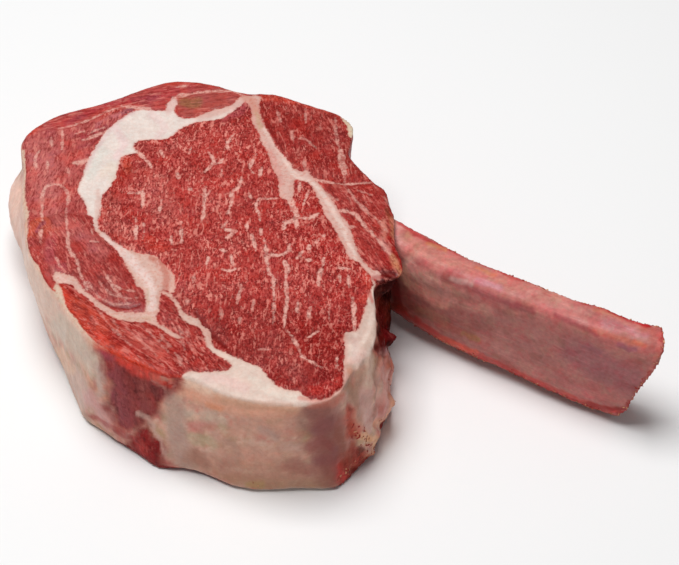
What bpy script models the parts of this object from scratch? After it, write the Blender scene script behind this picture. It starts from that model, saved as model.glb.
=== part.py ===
"""Raw cowboy steak: a thick rib steak cut across the ribs, with a long cleaned rib bone.

Two solids. `meat` is the whole slab of lean and fat, and `rib_bone` is the rib that sits in a
pocket in its side. All sizes below are in millimetres, in a plan frame that has +X along the
bone, +Y away from the front of the steak and z = 0 at the resting face. The last step moves
everything so that the origin is at the middle of the bottom of the box round both solids.
"""

import bmesh
import bpy
import numpy as np
from mathutils import Matrix, Vector, noise

MM = 0.001

# The slab
THICKNESS = 46.0
CENTRE = np.array([-50.0, 28.0])  # every outline below is seen as a radius round this point
WAIST_HEIGHT = 22.0
SHOULDER = 2.2  # rounding where a cut face turns into the side
GRID_CELLS = 46  # squares along a side of the grid that becomes the cut face
SIDE_STEPS = 9  # bands between the two shoulders
SHOULDER_TURNS = np.radians([60, 30, 0])  # where the rings of a shoulder lie on its rounding
RIM_FOLLOWS_FROM = 0.75  # above this share of the height, the side rises and dips with the rim

CUT_FACE_RIM = [
    (-121.5, 77), (-116, 85), (-109, 90.5), (-93, 98), (-84, 102.8), (-75, 108), (-67, 111.6),
    (-55, 110.8), (-38, 105.5), (-25, 103.6), (-15, 98.5), (-6, 94.3), (2, 90), (6, 84), (4, 70),
    (7.5, 62), (13.5, 54), (18.3, 48), (19, 42), (20.6, 35), (20.9, 28), (20.8, 22),
    (22, 16.5), (23.6, 12.5), (24, 8), (23.4, 3.4), (18.8, 1), (14.4, 0.6), (13.2, -3),
    (13, -8), (13, -14), (12.5, -28), (8, -35), (4, -43), (2, -49), (-3, -55), (-13, -57.5),
    (-22, -57.5), (-30, -56), (-40, -52), (-52, -45), (-61, -44), (-69, -39.5), (-86.5, -27),
    (-96.5, -13), (-110, 9), (-113, 15), (-116, 35), (-118, 45), (-119, 60),
]
WAIST = [
    (-118.5, 84), (-112, 93), (-98, 99), (-80, 104), (-66, 107), (-50, 107), (-34, 102),
    (-16, 97), (-2, 90), (4, 78), (6, 66), (13, 54), (18, 44), (20, 34), (20, 22), (17, 10),
    (16, 0), (17, -10), (18.5, -20), (17.5, -31), (13, -43), (4, -52), (-12, -58), (-30, -57.5),
    (-44, -53.5), (-58, -48.5), (-72, -42), (-87, -31.5), (-96, -18), (-103, -5), (-108, 4),
    (-114, 19), (-119, 38), (-120, 56), (-120.5, 70),
]
FOOT = [
    (-108.5, 14), (-103.5, 1), (-97, -16), (-92, -27), (-86, -31.5), (-73, -42), (-65, -48.5),
    (-54, -49), (-44, -53.5), (-38, -57), (-14, -58), (1, -57), (6, -50), (12, -40.5), (15, -31),
    (18, -21), (19, -11), (20, -1), (19, 12), (20, 24), (18, 36), (15, 48), (9, 62), (4, 76),
    (-2, 86), (-18, 94), (-36, 99), (-54, 103), (-70, 102), (-86, 98), (-102, 90), (-112, 80),
    (-116, 66), (-115, 50), (-112, 32),
]

# Relief of the cut face: the fat seams between the muscles lie a little lower than the lean
SEAM_DEPTH = 0.9
SEAMS = {
    "kernel": (9.0, [(-89, 34), (-92, 53), (-88, 73), (-70, 86), (-52, 92), (-37, 101)]),
    "right": (4.0, [(-36, 102), (-32, 90), (-22, 64), (-16, 58), (-6, 50), (2, 28), (14, 2)]),
    "right_branch": (3.0, [(-11, 56), (1, 53), (11, 52)]),
    "lower_left": (6.5, [(-89, 29), (-76, 13), (-64, -3), (-49, -19), (-41, -31)]),
    "tongue": (3.5, [(-103, 3), (-91, -5), (-77, -14), (-65, -17), (-56, -25)]),
}
FACE_SWELL, FACE_SWELL_SIZE, FACE_SEED = 0.8, 26.0, 3.1
SIDE_SWELL, SIDE_SWELL_SIZE, SIDE_SEED = 0.9, 17.0, 8.4
# the torn right-hand side, below the bone
RAGGED_SWELL, RAGGED_SIZE, RAGGED_SEED = 1.8, 7.5, 5.2
RAGGED_FROM, RAGGED_TO = np.radians(-62), np.radians(-12)

# Cushion of fat that swells out of the left side
CUSHION_OUT, CUSHION_HEIGHT, CUSHION_HALF_HEIGHT = 9.0, 21.0, 14.0
CUSHION_ANGLE, CUSHION_BACK, CUSHION_FRONT = np.radians([152, 13, 20])
CUSHION_ROUND_EASE, CUSHION_HIGH_EASE = 1.2, 1.5  # more makes the cushion's foot softer

# Torn tags of fat and lean that stand out of the side below the bone: centre, half sizes
TAGS = [
    ((14.5, -3.0, 20.5), (6.2, 6.0, 5.0)),
    ((13.0, -19.5, 21.0), (6.4, 7.0, 6.5)),
    ((13.2, -30.0, 15.5), (6.6, 6.0, 4.4)),
    ((7.0, -42.0, 8.5), (5.6, 5.0, 5.0)),
    ((15.5, -9.0, 11.0), (5.0, 8.0, 6.5)),
]
# Hollow between the eye of the meat and the root of the bone
HOLLOW_AT, HOLLOW_HALF = (23.0, 4.5, 29.5), (11.0, 10.5, 11.5)
TAG_ROUGHNESS, HOLLOW_ROUGHNESS, LUMP_SWELL_SIZE = 0.18, 0.12, 0.9  # shares of a half size
TAG_SEED, HOLLOW_SEED = 4.0, 1.5
TAG_FINENESS, HOLLOW_FINENESS = 2, 3

# The bone: its middle line in plan, from the end inside the meat to the free end
BONE_LINE = [
    (6, 43.5), (16, 34.5), (27, 25.2), (37.2, 16.4), (47.9, 9.1), (58.7, 2.7), (69.2, -3.6),
    (79.7, -9.8), (90.1, -15.7), (99, -20.2), (109, -24.6), (118, -28.4),
]
BONE_THICKNESS = 15.2
BONE_HEIGHT_ROOT, BONE_HEIGHT_END = 37.5, 44.5
BONE_MIDDLE = 23.5
BONE_SQUARENESS = 3.8  # 2 is an ellipse, more is closer to a rectangle
BONE_HOLLOWING = 0.7  # the broad front side is slightly dished
BONE_STATIONS, BONE_ROUND = 30, 30
BONE_ROUGHNESS, BONE_ROUGH_SIZE, BONE_SEED = 0.35, 9.0, 2.6
BONE_ROOT_SHRINK = 0.8  # the buried end is a little smaller, so its edge is blunt
END_CUT_AT = (112.6, -19.5, 43.5)
END_CUT_NORMAL = (0.958, 0.0, -0.286)
END_CUT_EASING = 0.9
FIT_GAP = 0.5
POCKET_DEEPER, POCKET_LEGS, POCKET_STATIONS = 1.5, 5, 16
CURVE_STEPS = 12  # points on each leg of a smooth line
END_CUT_SEGMENTS, END_CUT_PROFILE = 2, 0.6

LEAN_COLOUR, LEAN_ROUGHNESS = (0.45, 0.06, 0.05), 0.35
MEMBRANE_COLOUR, MEMBRANE_ROUGHNESS = (0.48, 0.22, 0.18), 0.45


def radius_through(points):
    """A smooth closed outline as radius over angle round CENTRE."""
    offset = np.array(points, float) - CENTRE
    angle = np.arctan2(offset[:, 1], offset[:, 0])
    order = np.argsort(angle)
    angle, radius = angle[order], np.hypot(*offset.T)[order]
    turn = 2 * np.pi
    angle = np.concatenate([angle[-2:] - turn, angle, angle[:2] + turn])
    radius = np.concatenate([radius[-2:], radius, radius[:2]])
    slope = np.gradient(radius, angle)

    def at(theta):
        theta = np.asarray(theta, float)
        k = np.clip(np.searchsorted(angle, theta, side="right") - 1, 0, len(angle) - 2)
        span = angle[k + 1] - angle[k]
        t = (theta - angle[k]) / span
        return (
            radius[k] * (1 + 2 * t) * (1 - t) ** 2
            + radius[k + 1] * t**2 * (3 - 2 * t)
            + span * (slope[k] * t * (1 - t) ** 2 - slope[k + 1] * t**2 * (1 - t))
        )

    return at


TOP_AT, WAIST_AT, FOOT_AT = (radius_through(line) for line in (CUT_FACE_RIM, WAIST, FOOT))


def side_radius(theta, z):
    """Radius of the side at this height: one curve through the rim, the waist and the foot."""
    top, waist = THICKNESS, WAIST_HEIGHT
    return (
        TOP_AT(theta) * (z - waist) * z / ((top - waist) * top)
        + WAIST_AT(theta) * (z - top) * z / ((waist - top) * waist)
        + FOOT_AT(theta) * (z - top) * (z - waist) / (top * waist)
    )


def wave(point, size, seed):
    return noise.noise(Vector(point) / size + Vector((seed, 1.7 * seed, 0.0)))


def distance_to_line(x, y, line):
    """Distance in plan from a point to a line of several legs."""
    nearest = 1e9
    for (ax, ay), (bx, by) in zip(line, line[1:]):
        ux, uy = bx - ax, by - ay
        t = min(1.0, max(0.0, ((x - ax) * ux + (y - ay) * uy) / (ux * ux + uy * uy)))
        nearest = min(nearest, float(np.hypot(x - ax - t * ux, y - ay - t * uy)))
    return nearest


def face_height(x, y):
    """Height of the upper cut face: swelling muscles and lower seams of fat."""
    dip = max(
        np.exp(-((distance_to_line(x, y, line) / width) ** 2)) for width, line in SEAMS.values()
    )
    swell = FACE_SWELL * wave((x, y, 0), FACE_SWELL_SIZE, FACE_SEED)
    return THICKNESS + swell - SEAM_DEPTH * dip


def side_profile():
    """(height, inset) of each ring of the side, from the rim down to the resting face."""
    upper = [
        (THICKNESS - SHOULDER * (1 - np.sin(turn)), SHOULDER * (1 - np.cos(turn)))
        for turn in SHOULDER_TURNS
    ]
    lower = [(THICKNESS - z, inset) for z, inset in reversed(upper)]
    steps = np.linspace(THICKNESS - SHOULDER, SHOULDER, SIDE_STEPS + 1)[1:-1]
    return upper + [(z, 0.0) for z in steps] + lower + [(0.0, SHOULDER)]


def side_relief(theta, x, y, z):
    """How far the side stands out, in millimetres: soft swelling, and torn where RAGGED."""
    calm = np.sqrt(np.sin(np.pi * min(1.0, max(0.0, z / THICKNESS))))
    out = SIDE_SWELL * wave((x, y, z), SIDE_SWELL_SIZE, SIDE_SEED)
    if RAGGED_FROM < theta < RAGGED_TO:
        share = np.sqrt(np.sin(np.pi * (theta - RAGGED_FROM) / (RAGGED_TO - RAGGED_FROM)))
        out += RAGGED_SWELL * share * wave((x, y, z), RAGGED_SIZE, RAGGED_SEED)
    reach = CUSHION_FRONT if theta < 0 or theta > CUSHION_ANGLE else CUSHION_BACK
    round_share = min(1.0, abs(theta % (2 * np.pi) - CUSHION_ANGLE) / reach)
    high_share = min(1.0, abs(z - CUSHION_HEIGHT) / CUSHION_HALF_HEIGHT)
    around = np.cos(np.pi / 2 * round_share) ** CUSHION_ROUND_EASE
    upright = np.cos(np.pi / 2 * high_share) ** CUSHION_HIGH_EASE
    return out * calm + CUSHION_OUT * float(around * upright)


def ray(vert):
    x, y = vert.co.x - CENTRE[0], vert.co.y - CENTRE[1]
    theta = float(np.arctan2(y, x))
    return theta, np.cos(theta), np.sin(theta)


def build_slab():
    """The slab before the cuts: a grid bent to the cut face, then rings let down from its rim."""
    bm = bmesh.new()
    bmesh.ops.create_grid(bm, x_segments=GRID_CELLS, y_segments=GRID_CELLS, size=1.0)
    for vert in bm.verts:
        u, v = vert.co.x, vert.co.y
        x, y = u * np.sqrt(1 - v * v / 2), v * np.sqrt(1 - u * u / 2)
        share, theta = float(np.hypot(x, y)), float(np.arctan2(y, x))
        reach = share * (float(TOP_AT(theta)) - SHOULDER)
        px, py = CENTRE[0] + reach * np.cos(theta), CENTRE[1] + reach * np.sin(theta)
        vert.co = (px, py, face_height(px, py))

    rim = [edge for edge in bm.edges if edge.is_boundary]
    lifted = {}
    for vert in {v for edge in rim for v in edge.verts}:
        lifted[round(ray(vert)[0], 6)] = vert.co.z - THICKNESS
    for z, inset in side_profile():
        follow = max(0.0, z / THICKNESS - RIM_FOLLOWS_FROM) / (1 - RIM_FOLLOWS_FROM)
        made = bmesh.ops.extrude_edge_only(bm, edges=rim)["geom"]
        rim = [item for item in made if isinstance(item, bmesh.types.BMEdge)]
        for vert in (item for item in made if isinstance(item, bmesh.types.BMVert)):
            theta, cos, sin = ray(vert)
            reach = float(side_radius(theta, z)) - inset
            reach += side_relief(theta, vert.co.x, vert.co.y, z)
            rise = lifted.get(round(theta, 6), 0.0) * follow
            vert.co = (CENTRE[0] + reach * cos, CENTRE[1] + reach * sin, z + rise)
    bmesh.ops.contextual_create(bm, geom=rim)
    bmesh.ops.recalc_face_normals(bm, faces=bm.faces)
    return bm


def smooth_line(points, count):
    """Points at even spacing along a Catmull-Rom curve through these points."""
    points = np.array(points, float)
    ends = np.vstack([2 * points[0] - points[1], points, 2 * points[-1] - points[-2]])
    fine = []
    for a, b, c, d in zip(ends, ends[1:], ends[2:], ends[3:]):
        for t in np.linspace(0, 1, CURVE_STEPS, endpoint=False):
            fine.append(
                0.5 * (2 * b + (c - a) * t + (2 * a - 5 * b + 4 * c - d) * t**2
                       + (3 * b - a - 3 * c + d) * t**3)
            )
    fine = np.array(fine + [points[-1]])
    along = np.concatenate([[0], np.cumsum(np.hypot(*np.diff(fine, axis=0).T))])
    steps = np.linspace(0, along[-1], count)
    return np.stack([np.interp(steps, along, fine[:, i]) for i in (0, 1)], axis=1)


def build_bone(line, stations, grow=0.0, rough=True):
    """A rib lofted along a line in plan, with upright sections. `grow` fattens it for a cutter."""
    bm = bmesh.new()
    path = smooth_line(line, stations)
    along = np.gradient(path, axis=0)
    along /= np.hypot(*along.T)[:, None]
    rings = []
    for i, ((px, py), (tx, ty)) in enumerate(zip(path, along)):
        share = min(1.0, max(0.0, (px - BONE_LINE[0][0]) / (END_CUT_AT[0] - BONE_LINE[0][0])))
        half_high = (BONE_HEIGHT_ROOT + (BONE_HEIGHT_END - BONE_HEIGHT_ROOT) * share) / 2 + grow
        half_thick = BONE_THICKNESS / 2 + grow
        blunt = BONE_ROOT_SHRINK if i == 0 else 1.0
        ring = []
        for phi in np.linspace(0, 2 * np.pi, BONE_ROUND, endpoint=False):
            c, s = np.cos(phi), np.sin(phi)
            power = 2 / BONE_SQUARENESS
            across = half_thick * blunt * np.sign(c) * abs(c) ** power
            up = half_high * blunt * np.sign(s) * abs(s) ** power
            if across < 0:  # the broad side that faces the front of the steak
                across += BONE_HOLLOWING * share * (1 - (up / half_high) ** 2)
            # the outside normal of the line is on its far side, away from the front
            x, y, z = px - ty * across, py + tx * across, BONE_MIDDLE + up
            if rough:
                swell = BONE_ROUGHNESS * wave((x, y, z), BONE_ROUGH_SIZE, BONE_SEED)
                x, y = x - ty * swell * np.sign(across), y + tx * swell * np.sign(across)
                z += swell * s
            ring.append(bm.verts.new((x, y, z)))
        rings.append(ring)
    for low, high in zip(rings, rings[1:]):
        for j in range(BONE_ROUND):
            k = (j + 1) % BONE_ROUND
            bm.faces.new((low[j], low[k], high[k], high[j]))
    bm.faces.new(rings[0])
    bm.faces.new(rings[-1])
    bmesh.ops.recalc_face_normals(bm, faces=bm.faces)
    return bm


def cut_bone_end(bm):
    """The slanting saw cut at the free end, its edge eased."""
    cut = bmesh.ops.bisect_plane(
        bm, geom=bm.verts[:] + bm.edges[:] + bm.faces[:], dist=1e-4,
        plane_co=END_CUT_AT, plane_no=END_CUT_NORMAL, clear_outer=True,
    )
    loop = [item for item in cut["geom_cut"] if isinstance(item, bmesh.types.BMEdge)]
    bmesh.ops.contextual_create(bm, geom=loop)
    bmesh.ops.bevel(
        bm, geom=loop, offset=END_CUT_EASING, segments=END_CUT_SEGMENTS,
        profile=END_CUT_PROFILE, affect="EDGES", clamp_overlap=True,
    )
    bmesh.ops.recalc_face_normals(bm, faces=bm.faces)


def build_ellipsoid(middle, half, seed, fineness, rough):
    """A lump with an uneven surface. `rough` is a share of its half sizes."""
    bm = bmesh.new()
    bmesh.ops.create_icosphere(bm, subdivisions=fineness, radius=1.0)
    for vert in bm.verts:
        vert.co *= 1 + rough * wave(vert.co, LUMP_SWELL_SIZE, seed)
        vert.co = Vector(middle) + Vector(vert.co[i] * half[i] for i in range(3))
    return bm


def material(name, colour, roughness):
    made = bpy.data.materials.new(name)
    made.use_nodes = True
    shader = made.node_tree.nodes["Principled BSDF"]
    shader.inputs["Base Color"].default_value = (*colour, 1.0)
    shader.inputs["Roughness"].default_value = roughness
    shader.inputs["Metallic"].default_value = 0.0
    return made


def place(name, bm, collection, finish=None):
    """The mesh as an object, in metres, shaded smooth."""
    bmesh.ops.scale(bm, vec=(MM, MM, MM), verts=bm.verts)
    mesh = bpy.data.meshes.new(name)
    for face in bm.faces:
        face.smooth = True
    bm.to_mesh(mesh)
    bm.free()
    obj = bpy.data.objects.new(name, mesh)
    collection.objects.link(obj)
    if finish:
        mesh.materials.append(finish)
    else:
        obj.hide_render = True
        obj.display_type = "WIRE"
    return obj


def cut(target, tool):
    modifier = target.modifiers.new(f"cut_{tool.name}", "BOOLEAN")
    modifier.operation = "DIFFERENCE"
    modifier.object = tool
    modifier.solver = "MANIFOLD"


def join(target, collection):
    """Fuses the collection's objects onto the target, and removes them."""
    modifier = target.modifiers.new("join", "BOOLEAN")
    modifier.operation = "UNION"
    modifier.operand_type = "COLLECTION"
    modifier.collection = collection
    modifier.solver = "MANIFOLD"
    bpy.context.view_layer.update()
    graph = bpy.context.evaluated_depsgraph_get()
    target.data = bpy.data.meshes.new_from_object(target.evaluated_get(graph))
    target.modifiers.clear()
    for obj in list(collection.objects):
        bpy.data.objects.remove(obj, do_unlink=True)


def centre_on_box(nodes):
    """Moves everything so that the origin is the middle of the bottom of the box round the nodes."""
    bpy.context.view_layer.update()
    graph = bpy.context.evaluated_depsgraph_get()
    corners = []
    for node in nodes:
        mesh = node.evaluated_get(graph).to_mesh()
        points = np.empty(len(mesh.vertices) * 3, np.float32)
        mesh.vertices.foreach_get("co", points)
        corners += [points.reshape(-1, 3).min(axis=0), points.reshape(-1, 3).max(axis=0)]
        node.evaluated_get(graph).to_mesh_clear()
    low, high = np.min(corners, axis=0), np.max(corners, axis=0)
    shift = Vector((-(low[0] + high[0]) / 2, -(low[1] + high[1]) / 2, -low[2]))
    for obj in bpy.data.objects:
        obj.data.transform(Matrix.Translation(shift))
    print("moved by, in mm:", [round(value / MM, 2) for value in shift])


def main():
    for obj in list(bpy.data.objects):
        bpy.data.objects.remove(obj, do_unlink=True)
    steak, tags, cutters = (
        bpy.data.collections.new(name) for name in ("cowboy_steak", "tags", "cutters")
    )
    for collection in (steak, tags, cutters):
        bpy.context.scene.collection.children.link(collection)
        collection.hide_render = collection is not steak

    lean = material("lean_and_fat", LEAN_COLOUR, LEAN_ROUGHNESS)
    meat = place("meat", build_slab(), steak, lean)
    for i, (middle, half) in enumerate(TAGS):
        lump = build_ellipsoid(middle, half, TAG_SEED + i, TAG_FINENESS, TAG_ROUGHNESS)
        place(f"tag_{i}", lump, tags)
    join(meat, tags)
    hollow = build_ellipsoid(
        HOLLOW_AT, HOLLOW_HALF, HOLLOW_SEED, HOLLOW_FINENESS, HOLLOW_ROUGHNESS
    )
    cut(meat, place("hollow", hollow, cutters))
    start, second = np.array(BONE_LINE[0], float), np.array(BONE_LINE[1], float)
    deeper = start - (second - start) / np.hypot(*(second - start)) * POCKET_DEEPER
    pocket_line = [tuple(deeper), *BONE_LINE[1 : 1 + POCKET_LEGS]]
    pocket = build_bone(pocket_line, POCKET_STATIONS, FIT_GAP + BONE_ROUGHNESS, rough=False)
    cut(meat, place("pocket", pocket, cutters))

    bone = build_bone(BONE_LINE, BONE_STATIONS)
    cut_bone_end(bone)
    membrane = material("bone_membrane", MEMBRANE_COLOUR, MEMBRANE_ROUGHNESS)
    rib = place("rib_bone", bone, steak, membrane)
    centre_on_box([meat, rib])


main()
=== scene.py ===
"""Raw cowboy steak, dressed: a thick marbled rib steak with a long cleaned rib bone.

The slab and the rib keep the form of their solids. Each is a fine, even mesh of its solid, with
its relief moved into the vertices and its pattern painted on them as attributes: how far a spot
is inside a patch of fat, which way the muscle's fibres run, and the colours of the lean and of
the fat there. The materials draw the fine marbling between those values. The patches are
outlined in pixels of the 679 x 565 photo and carried onto the steak by the photo's own camera.
Lengths are in millimetres until they go into a mesh, which is in metres.
"""

import itertools
import logging
from collections.abc import Mapping, Sequence
from dataclasses import dataclass, field
from enum import Enum
from typing import Any

import bmesh
import bpy
import numpy as np
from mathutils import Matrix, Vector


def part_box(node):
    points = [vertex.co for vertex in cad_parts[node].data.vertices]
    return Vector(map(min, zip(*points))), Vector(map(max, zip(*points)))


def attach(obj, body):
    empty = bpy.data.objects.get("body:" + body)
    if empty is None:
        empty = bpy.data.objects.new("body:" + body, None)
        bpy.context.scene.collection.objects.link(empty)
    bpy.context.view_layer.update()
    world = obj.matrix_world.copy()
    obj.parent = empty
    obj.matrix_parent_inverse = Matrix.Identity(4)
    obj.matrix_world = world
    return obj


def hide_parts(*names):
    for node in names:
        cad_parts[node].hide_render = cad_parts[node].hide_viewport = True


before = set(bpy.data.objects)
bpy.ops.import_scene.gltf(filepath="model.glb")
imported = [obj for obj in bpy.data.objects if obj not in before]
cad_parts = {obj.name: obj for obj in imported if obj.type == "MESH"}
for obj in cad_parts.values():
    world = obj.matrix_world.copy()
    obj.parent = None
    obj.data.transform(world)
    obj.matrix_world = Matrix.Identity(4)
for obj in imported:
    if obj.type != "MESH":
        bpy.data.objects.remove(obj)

log = logging.getLogger("cowboy_steak")

Array = np.ndarray
Point = tuple[float, float]
MM = 0.001

# Where the plan used for the solids has its zero, seen from the frame's origin
PLAN_SHIFT = np.array([7.72, -26.25])
SLAB_HEIGHT = 46.0

# How far round the slab's side one radian goes, and how deep inside an outline or a stroke a
# point is ever taken to be, above or below 0; both in millimetres
SIDE_RADIUS = 78.0
DEPTH_LIMIT = 8.0

# How strongly the studio lights a level face and an upright one, for turning seen colours
# into the surface's own
LIGHT_FROM_ABOVE = 1.15
LIGHT_AT_SIDE = 0.62


# ---------------------------------------------------------------- small sums on arrays


def ease(low: float, high: float, value: Array) -> Array:
    """Smooth rise from 0 at `low` to 1 at `high`; `low` may be the larger one."""
    share = np.clip((value - low) / (high - low), 0.0, 1.0)
    return share * share * (3.0 - 2.0 * share)


def blend(first: Array, second: Array, share: Array) -> Array:
    """Mixes two arrays of values or colours.

    Args:
        first: What shows where the share is 0.
        second: What shows where the share is 1; one row, or one for each point.
        share: One share for each point.

    Returns:
        The mixed rows.
    """
    if np.ndim(first) > 1 or np.ndim(second) > 1:
        share = share[:, None]
    return first * (1.0 - share) + second * share


def smooth_path(points: Sequence[Point], closed: bool, steps: int = 4) -> Array:
    """Points along a Catmull-Rom curve through a few given ones.

    Args:
        points: The points it passes through.
        closed: Whether it returns to its start.
        steps: How many points each leg gets.

    Returns:
        The finer points, one row each.
    """
    rough = np.array(points, float)
    if closed:
        ends = np.vstack([rough[-1], rough, rough[:2]])
    else:
        ends = np.vstack([2 * rough[0] - rough[1], rough, 2 * rough[-1] - rough[-2]])
    share = np.linspace(0.0, 1.0, steps, endpoint=False)[:, None]
    legs = []
    for a, b, c, d in zip(ends, ends[1:], ends[2:], ends[3:]):
        bend = (2 * a - 5 * b + 4 * c - d) * share**2 + (3 * b - a - 3 * c + d) * share**3
        legs.append(0.5 * (2 * b + (c - a) * share + bend))
    if not closed:
        legs.append(rough[-1:])
    return np.vstack(legs)


def distance_to_legs(points: Array, path: Array) -> tuple[Array, Array]:
    """Distance from each point to a line of several legs.

    Args:
        points: The points, one row each.
        path: The line's own points.

    Returns:
        The distance, and how far along the line the nearest spot is, from 0 to 1.
    """
    nearest = np.full(len(points), np.inf)
    along = np.zeros(len(points))
    lengths = np.hypot(*np.diff(path, axis=0).T)
    passed = np.concatenate([[0.0], np.cumsum(lengths)])
    for start, leg, length, before in zip(path, np.diff(path, axis=0), lengths, passed):
        if length == 0.0:
            continue
        share = np.clip(((points - start) @ leg) / length**2, 0.0, 1.0)
        away = np.hypot(*(points - start - share[:, None] * leg).T)
        closer = away < nearest
        nearest = np.where(closer, away, nearest)
        along = np.where(closer, (before + share * length) / passed[-1], along)
    return nearest, along


def inside_outline(points: Array, outline: Array) -> Array:
    """Whether each point lies inside a closed outline.

    Args:
        points: The points, one row each.
        outline: The outline's points, without the first one repeated.

    Returns:
        One truth value for each point.
    """
    inside = np.zeros(len(points), bool)
    x, y = points.T
    for (ax, ay), (bx, by) in zip(outline, np.roll(outline, -1, axis=0)):
        if ay == by:
            continue
        crosses = (ay > y) != (by > y)
        inside ^= crosses & (x < ax + (y - ay) / (by - ay) * (bx - ax))
    return inside


def depth_inside(points: Array, outline: Array, reach: float = DEPTH_LIMIT) -> Array:
    """Signed distance to an outline, above 0 inside it.

    Args:
        points: The points, one row each.
        outline: The outline's points.
        reach: The distance past which the value is only cut off.

    Returns:
        One distance for each point, from minus the reach up.
    """
    depth = np.full(len(points), -reach)
    low, high = outline.min(axis=0) - reach, outline.max(axis=0) + reach
    near = ((points > low) & (points < high)).all(axis=1)
    if near.any():
        spots = points[near]
        away, _ = distance_to_legs(spots, np.vstack([outline, outline[:1]]))
        signed = np.where(inside_outline(spots, outline), away, -away)
        depth[near] = np.maximum(signed, -reach)
    return depth


@dataclass(frozen=True)
class SoftNoise:
    """Seeded smooth noise in three dimensions, for whole arrays of points.

    Attributes:
        size: How far apart its swells are, in millimetres.
        seed: Which of its patterns it gives.
        octaves: How many finer layers it adds up.
    """

    size: float
    seed: int
    octaves: int = 1

    def at(self, points: Array) -> Array:
        """Its value at each point, mostly between -1 and 1."""
        cells = np.asarray(points, float) / self.size
        total = np.zeros(len(cells))
        weight, weights = 1.0, 0.0
        for octave in range(self.octaves):
            total += weight * self._lattice(cells, self.seed + octave)
            weights += weight
            weight *= 0.5
            cells = cells * 2.0 + 17.3
        return total / weights

    @staticmethod
    def _lattice(cells: Array, seed: int) -> Array:
        """One layer of gradient noise on a grid of unit cells."""
        random = np.random.default_rng(seed)
        order = random.permutation(256)
        slopes = random.normal(size=(256, 3))
        slopes /= np.linalg.norm(slopes, axis=1)[:, None]
        base = np.floor(cells).astype(int)
        inside = cells - base
        eased = inside**3 * (inside * (inside * 6 - 15) + 10)
        value = np.zeros(len(cells))
        for corner in itertools.product((0, 1), repeat=3):
            spot = (base + corner) & 255
            pick = order[(order[(order[spot[:, 0]] + spot[:, 1]) & 255] + spot[:, 2]) & 255]
            slope = ((inside - corner) * slopes[pick]).sum(axis=1)
            value += slope * np.prod(np.where(corner, eased, 1.0 - eased), axis=1)
        return value * 1.6


def noise_pair(points: Array, size: float, seeds: tuple[int, int], octaves: int = 2) -> Array:
    """Two soft noises side by side, for moving points or pixels about."""
    return np.stack([SoftNoise(size, seed, octaves).at(points) for seed in seeds], axis=1)


def drawn_noise(seed: int, *axes: tuple[Array, float]) -> Array:
    """Soft noise drawn out along its axes.

    Args:
        seed: Which pattern it gives.
        *axes: Up to three pairs of each point's place along an axis and the swells' length.

    Returns:
        Its value at each point, mostly between -1 and 1.
    """
    cells = [place / length for place, length in axes]
    cells += [np.zeros(len(cells[0]))] * (3 - len(cells))
    return SoftNoise(1.0, seed, 2).at(np.stack(cells, axis=1))


# ---------------------------------------------------------------- colours and the camera


@dataclass(frozen=True)
class Tint:
    """A colour as the photo shows it, in 8-bit sRGB, and how strongly light falls there.

    Attributes:
        red, green, blue: The seen colour.
        light: The light on that spot, where a level face has 1.
    """

    red: int
    green: int
    blue: int
    light: float = LIGHT_FROM_ABOVE

    @property
    def albedo(self) -> Array:
        """The surface's own colour, linear."""
        seen = np.array([self.red, self.green, self.blue]) / 255.0
        linear = np.where(seen <= 0.04045, seen / 12.92, ((seen + 0.055) / 1.055) ** 2.4)
        return np.clip(linear / self.light, 0.0, 0.92)

    @property
    def rgba(self) -> tuple[float, float, float, float]:
        """The surface's own colour for a shader socket."""
        return (*map(float, self.albedo), 1.0)


def side_tint(red: int, green: int, blue: int) -> Tint:
    """A colour seen on an upright face."""
    return Tint(red, green, blue, LIGHT_AT_SIDE)


@dataclass(frozen=True)
class PhotoCamera:
    """The camera fitted to the photo: it looks along +Y and down onto the cut face.

    Attributes:
        width, height: The photo's size in pixels.
        focal: Focal length in pixels.
        elevation: How steeply it looks down, in radians.
        distance: From the camera to the point it looks at.
        target: That point, on the plane of the cut face.
    """

    width: int = 679
    height: int = 565
    focal: float = 2100.0
    elevation: float = float(np.radians(46.0))
    distance: float = 750.0
    target: tuple[float, float, float] = (*map(float, PLAN_SHIFT), SLAB_HEIGHT)

    @property
    def axes(self) -> tuple[Array, Array, Array]:
        """Its right, up and forward directions."""
        cos, sin = np.cos(self.elevation), np.sin(self.elevation)
        return np.array([1.0, 0.0, 0.0]), np.array([0.0, sin, cos]), np.array([0.0, cos, -sin])

    @property
    def eye(self) -> Array:
        """Where it stands."""
        return np.array(self.target) - self.axes[2] * self.distance

    def to_pixels(self, points: Array) -> Array:
        """The pixels at which these points show."""
        right, up, forward = self.axes
        offset = points - self.eye
        scale = self.focal / (offset @ forward)
        across = self.width / 2 + scale * (offset @ right)
        down = self.height / 2 - scale * (offset @ up)
        return np.stack([across, down], axis=1)

    def to_plan(self, pixels: Array, height: float = SLAB_HEIGHT) -> Array:
        """Carries pixels onto a level plane.

        Args:
            pixels: Pixels of the photo, one row each.
            height: The plane's height above the resting face.

        Returns:
            The x and y of each, in millimetres.
        """
        right, up, forward = self.axes
        across = (pixels[:, :1] - self.width / 2) / self.focal
        down = (pixels[:, 1:] - self.height / 2) / self.focal
        ray = forward + right * across - up * down
        reach = (height - self.eye[2]) / ray[:, 2:]
        return (self.eye + ray * reach)[:, :2]

    def build(self) -> bpy.types.Object:
        """Adds the camera and makes it the scene's own."""
        sensor = 36.0
        data = bpy.data.cameras.new("photo_camera")
        data.sensor_width = sensor
        data.lens = self.focal * sensor / self.width
        data.clip_end = 20.0
        camera = bpy.data.objects.new("photo_camera", data)
        camera.location = self.eye * MM
        camera.rotation_euler = (np.pi / 2 - self.elevation, 0.0, 0.0)
        bpy.context.scene.collection.objects.link(camera)
        bpy.context.scene.camera = camera
        return camera


# ---------------------------------------------------------------- what the photo shows


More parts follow.
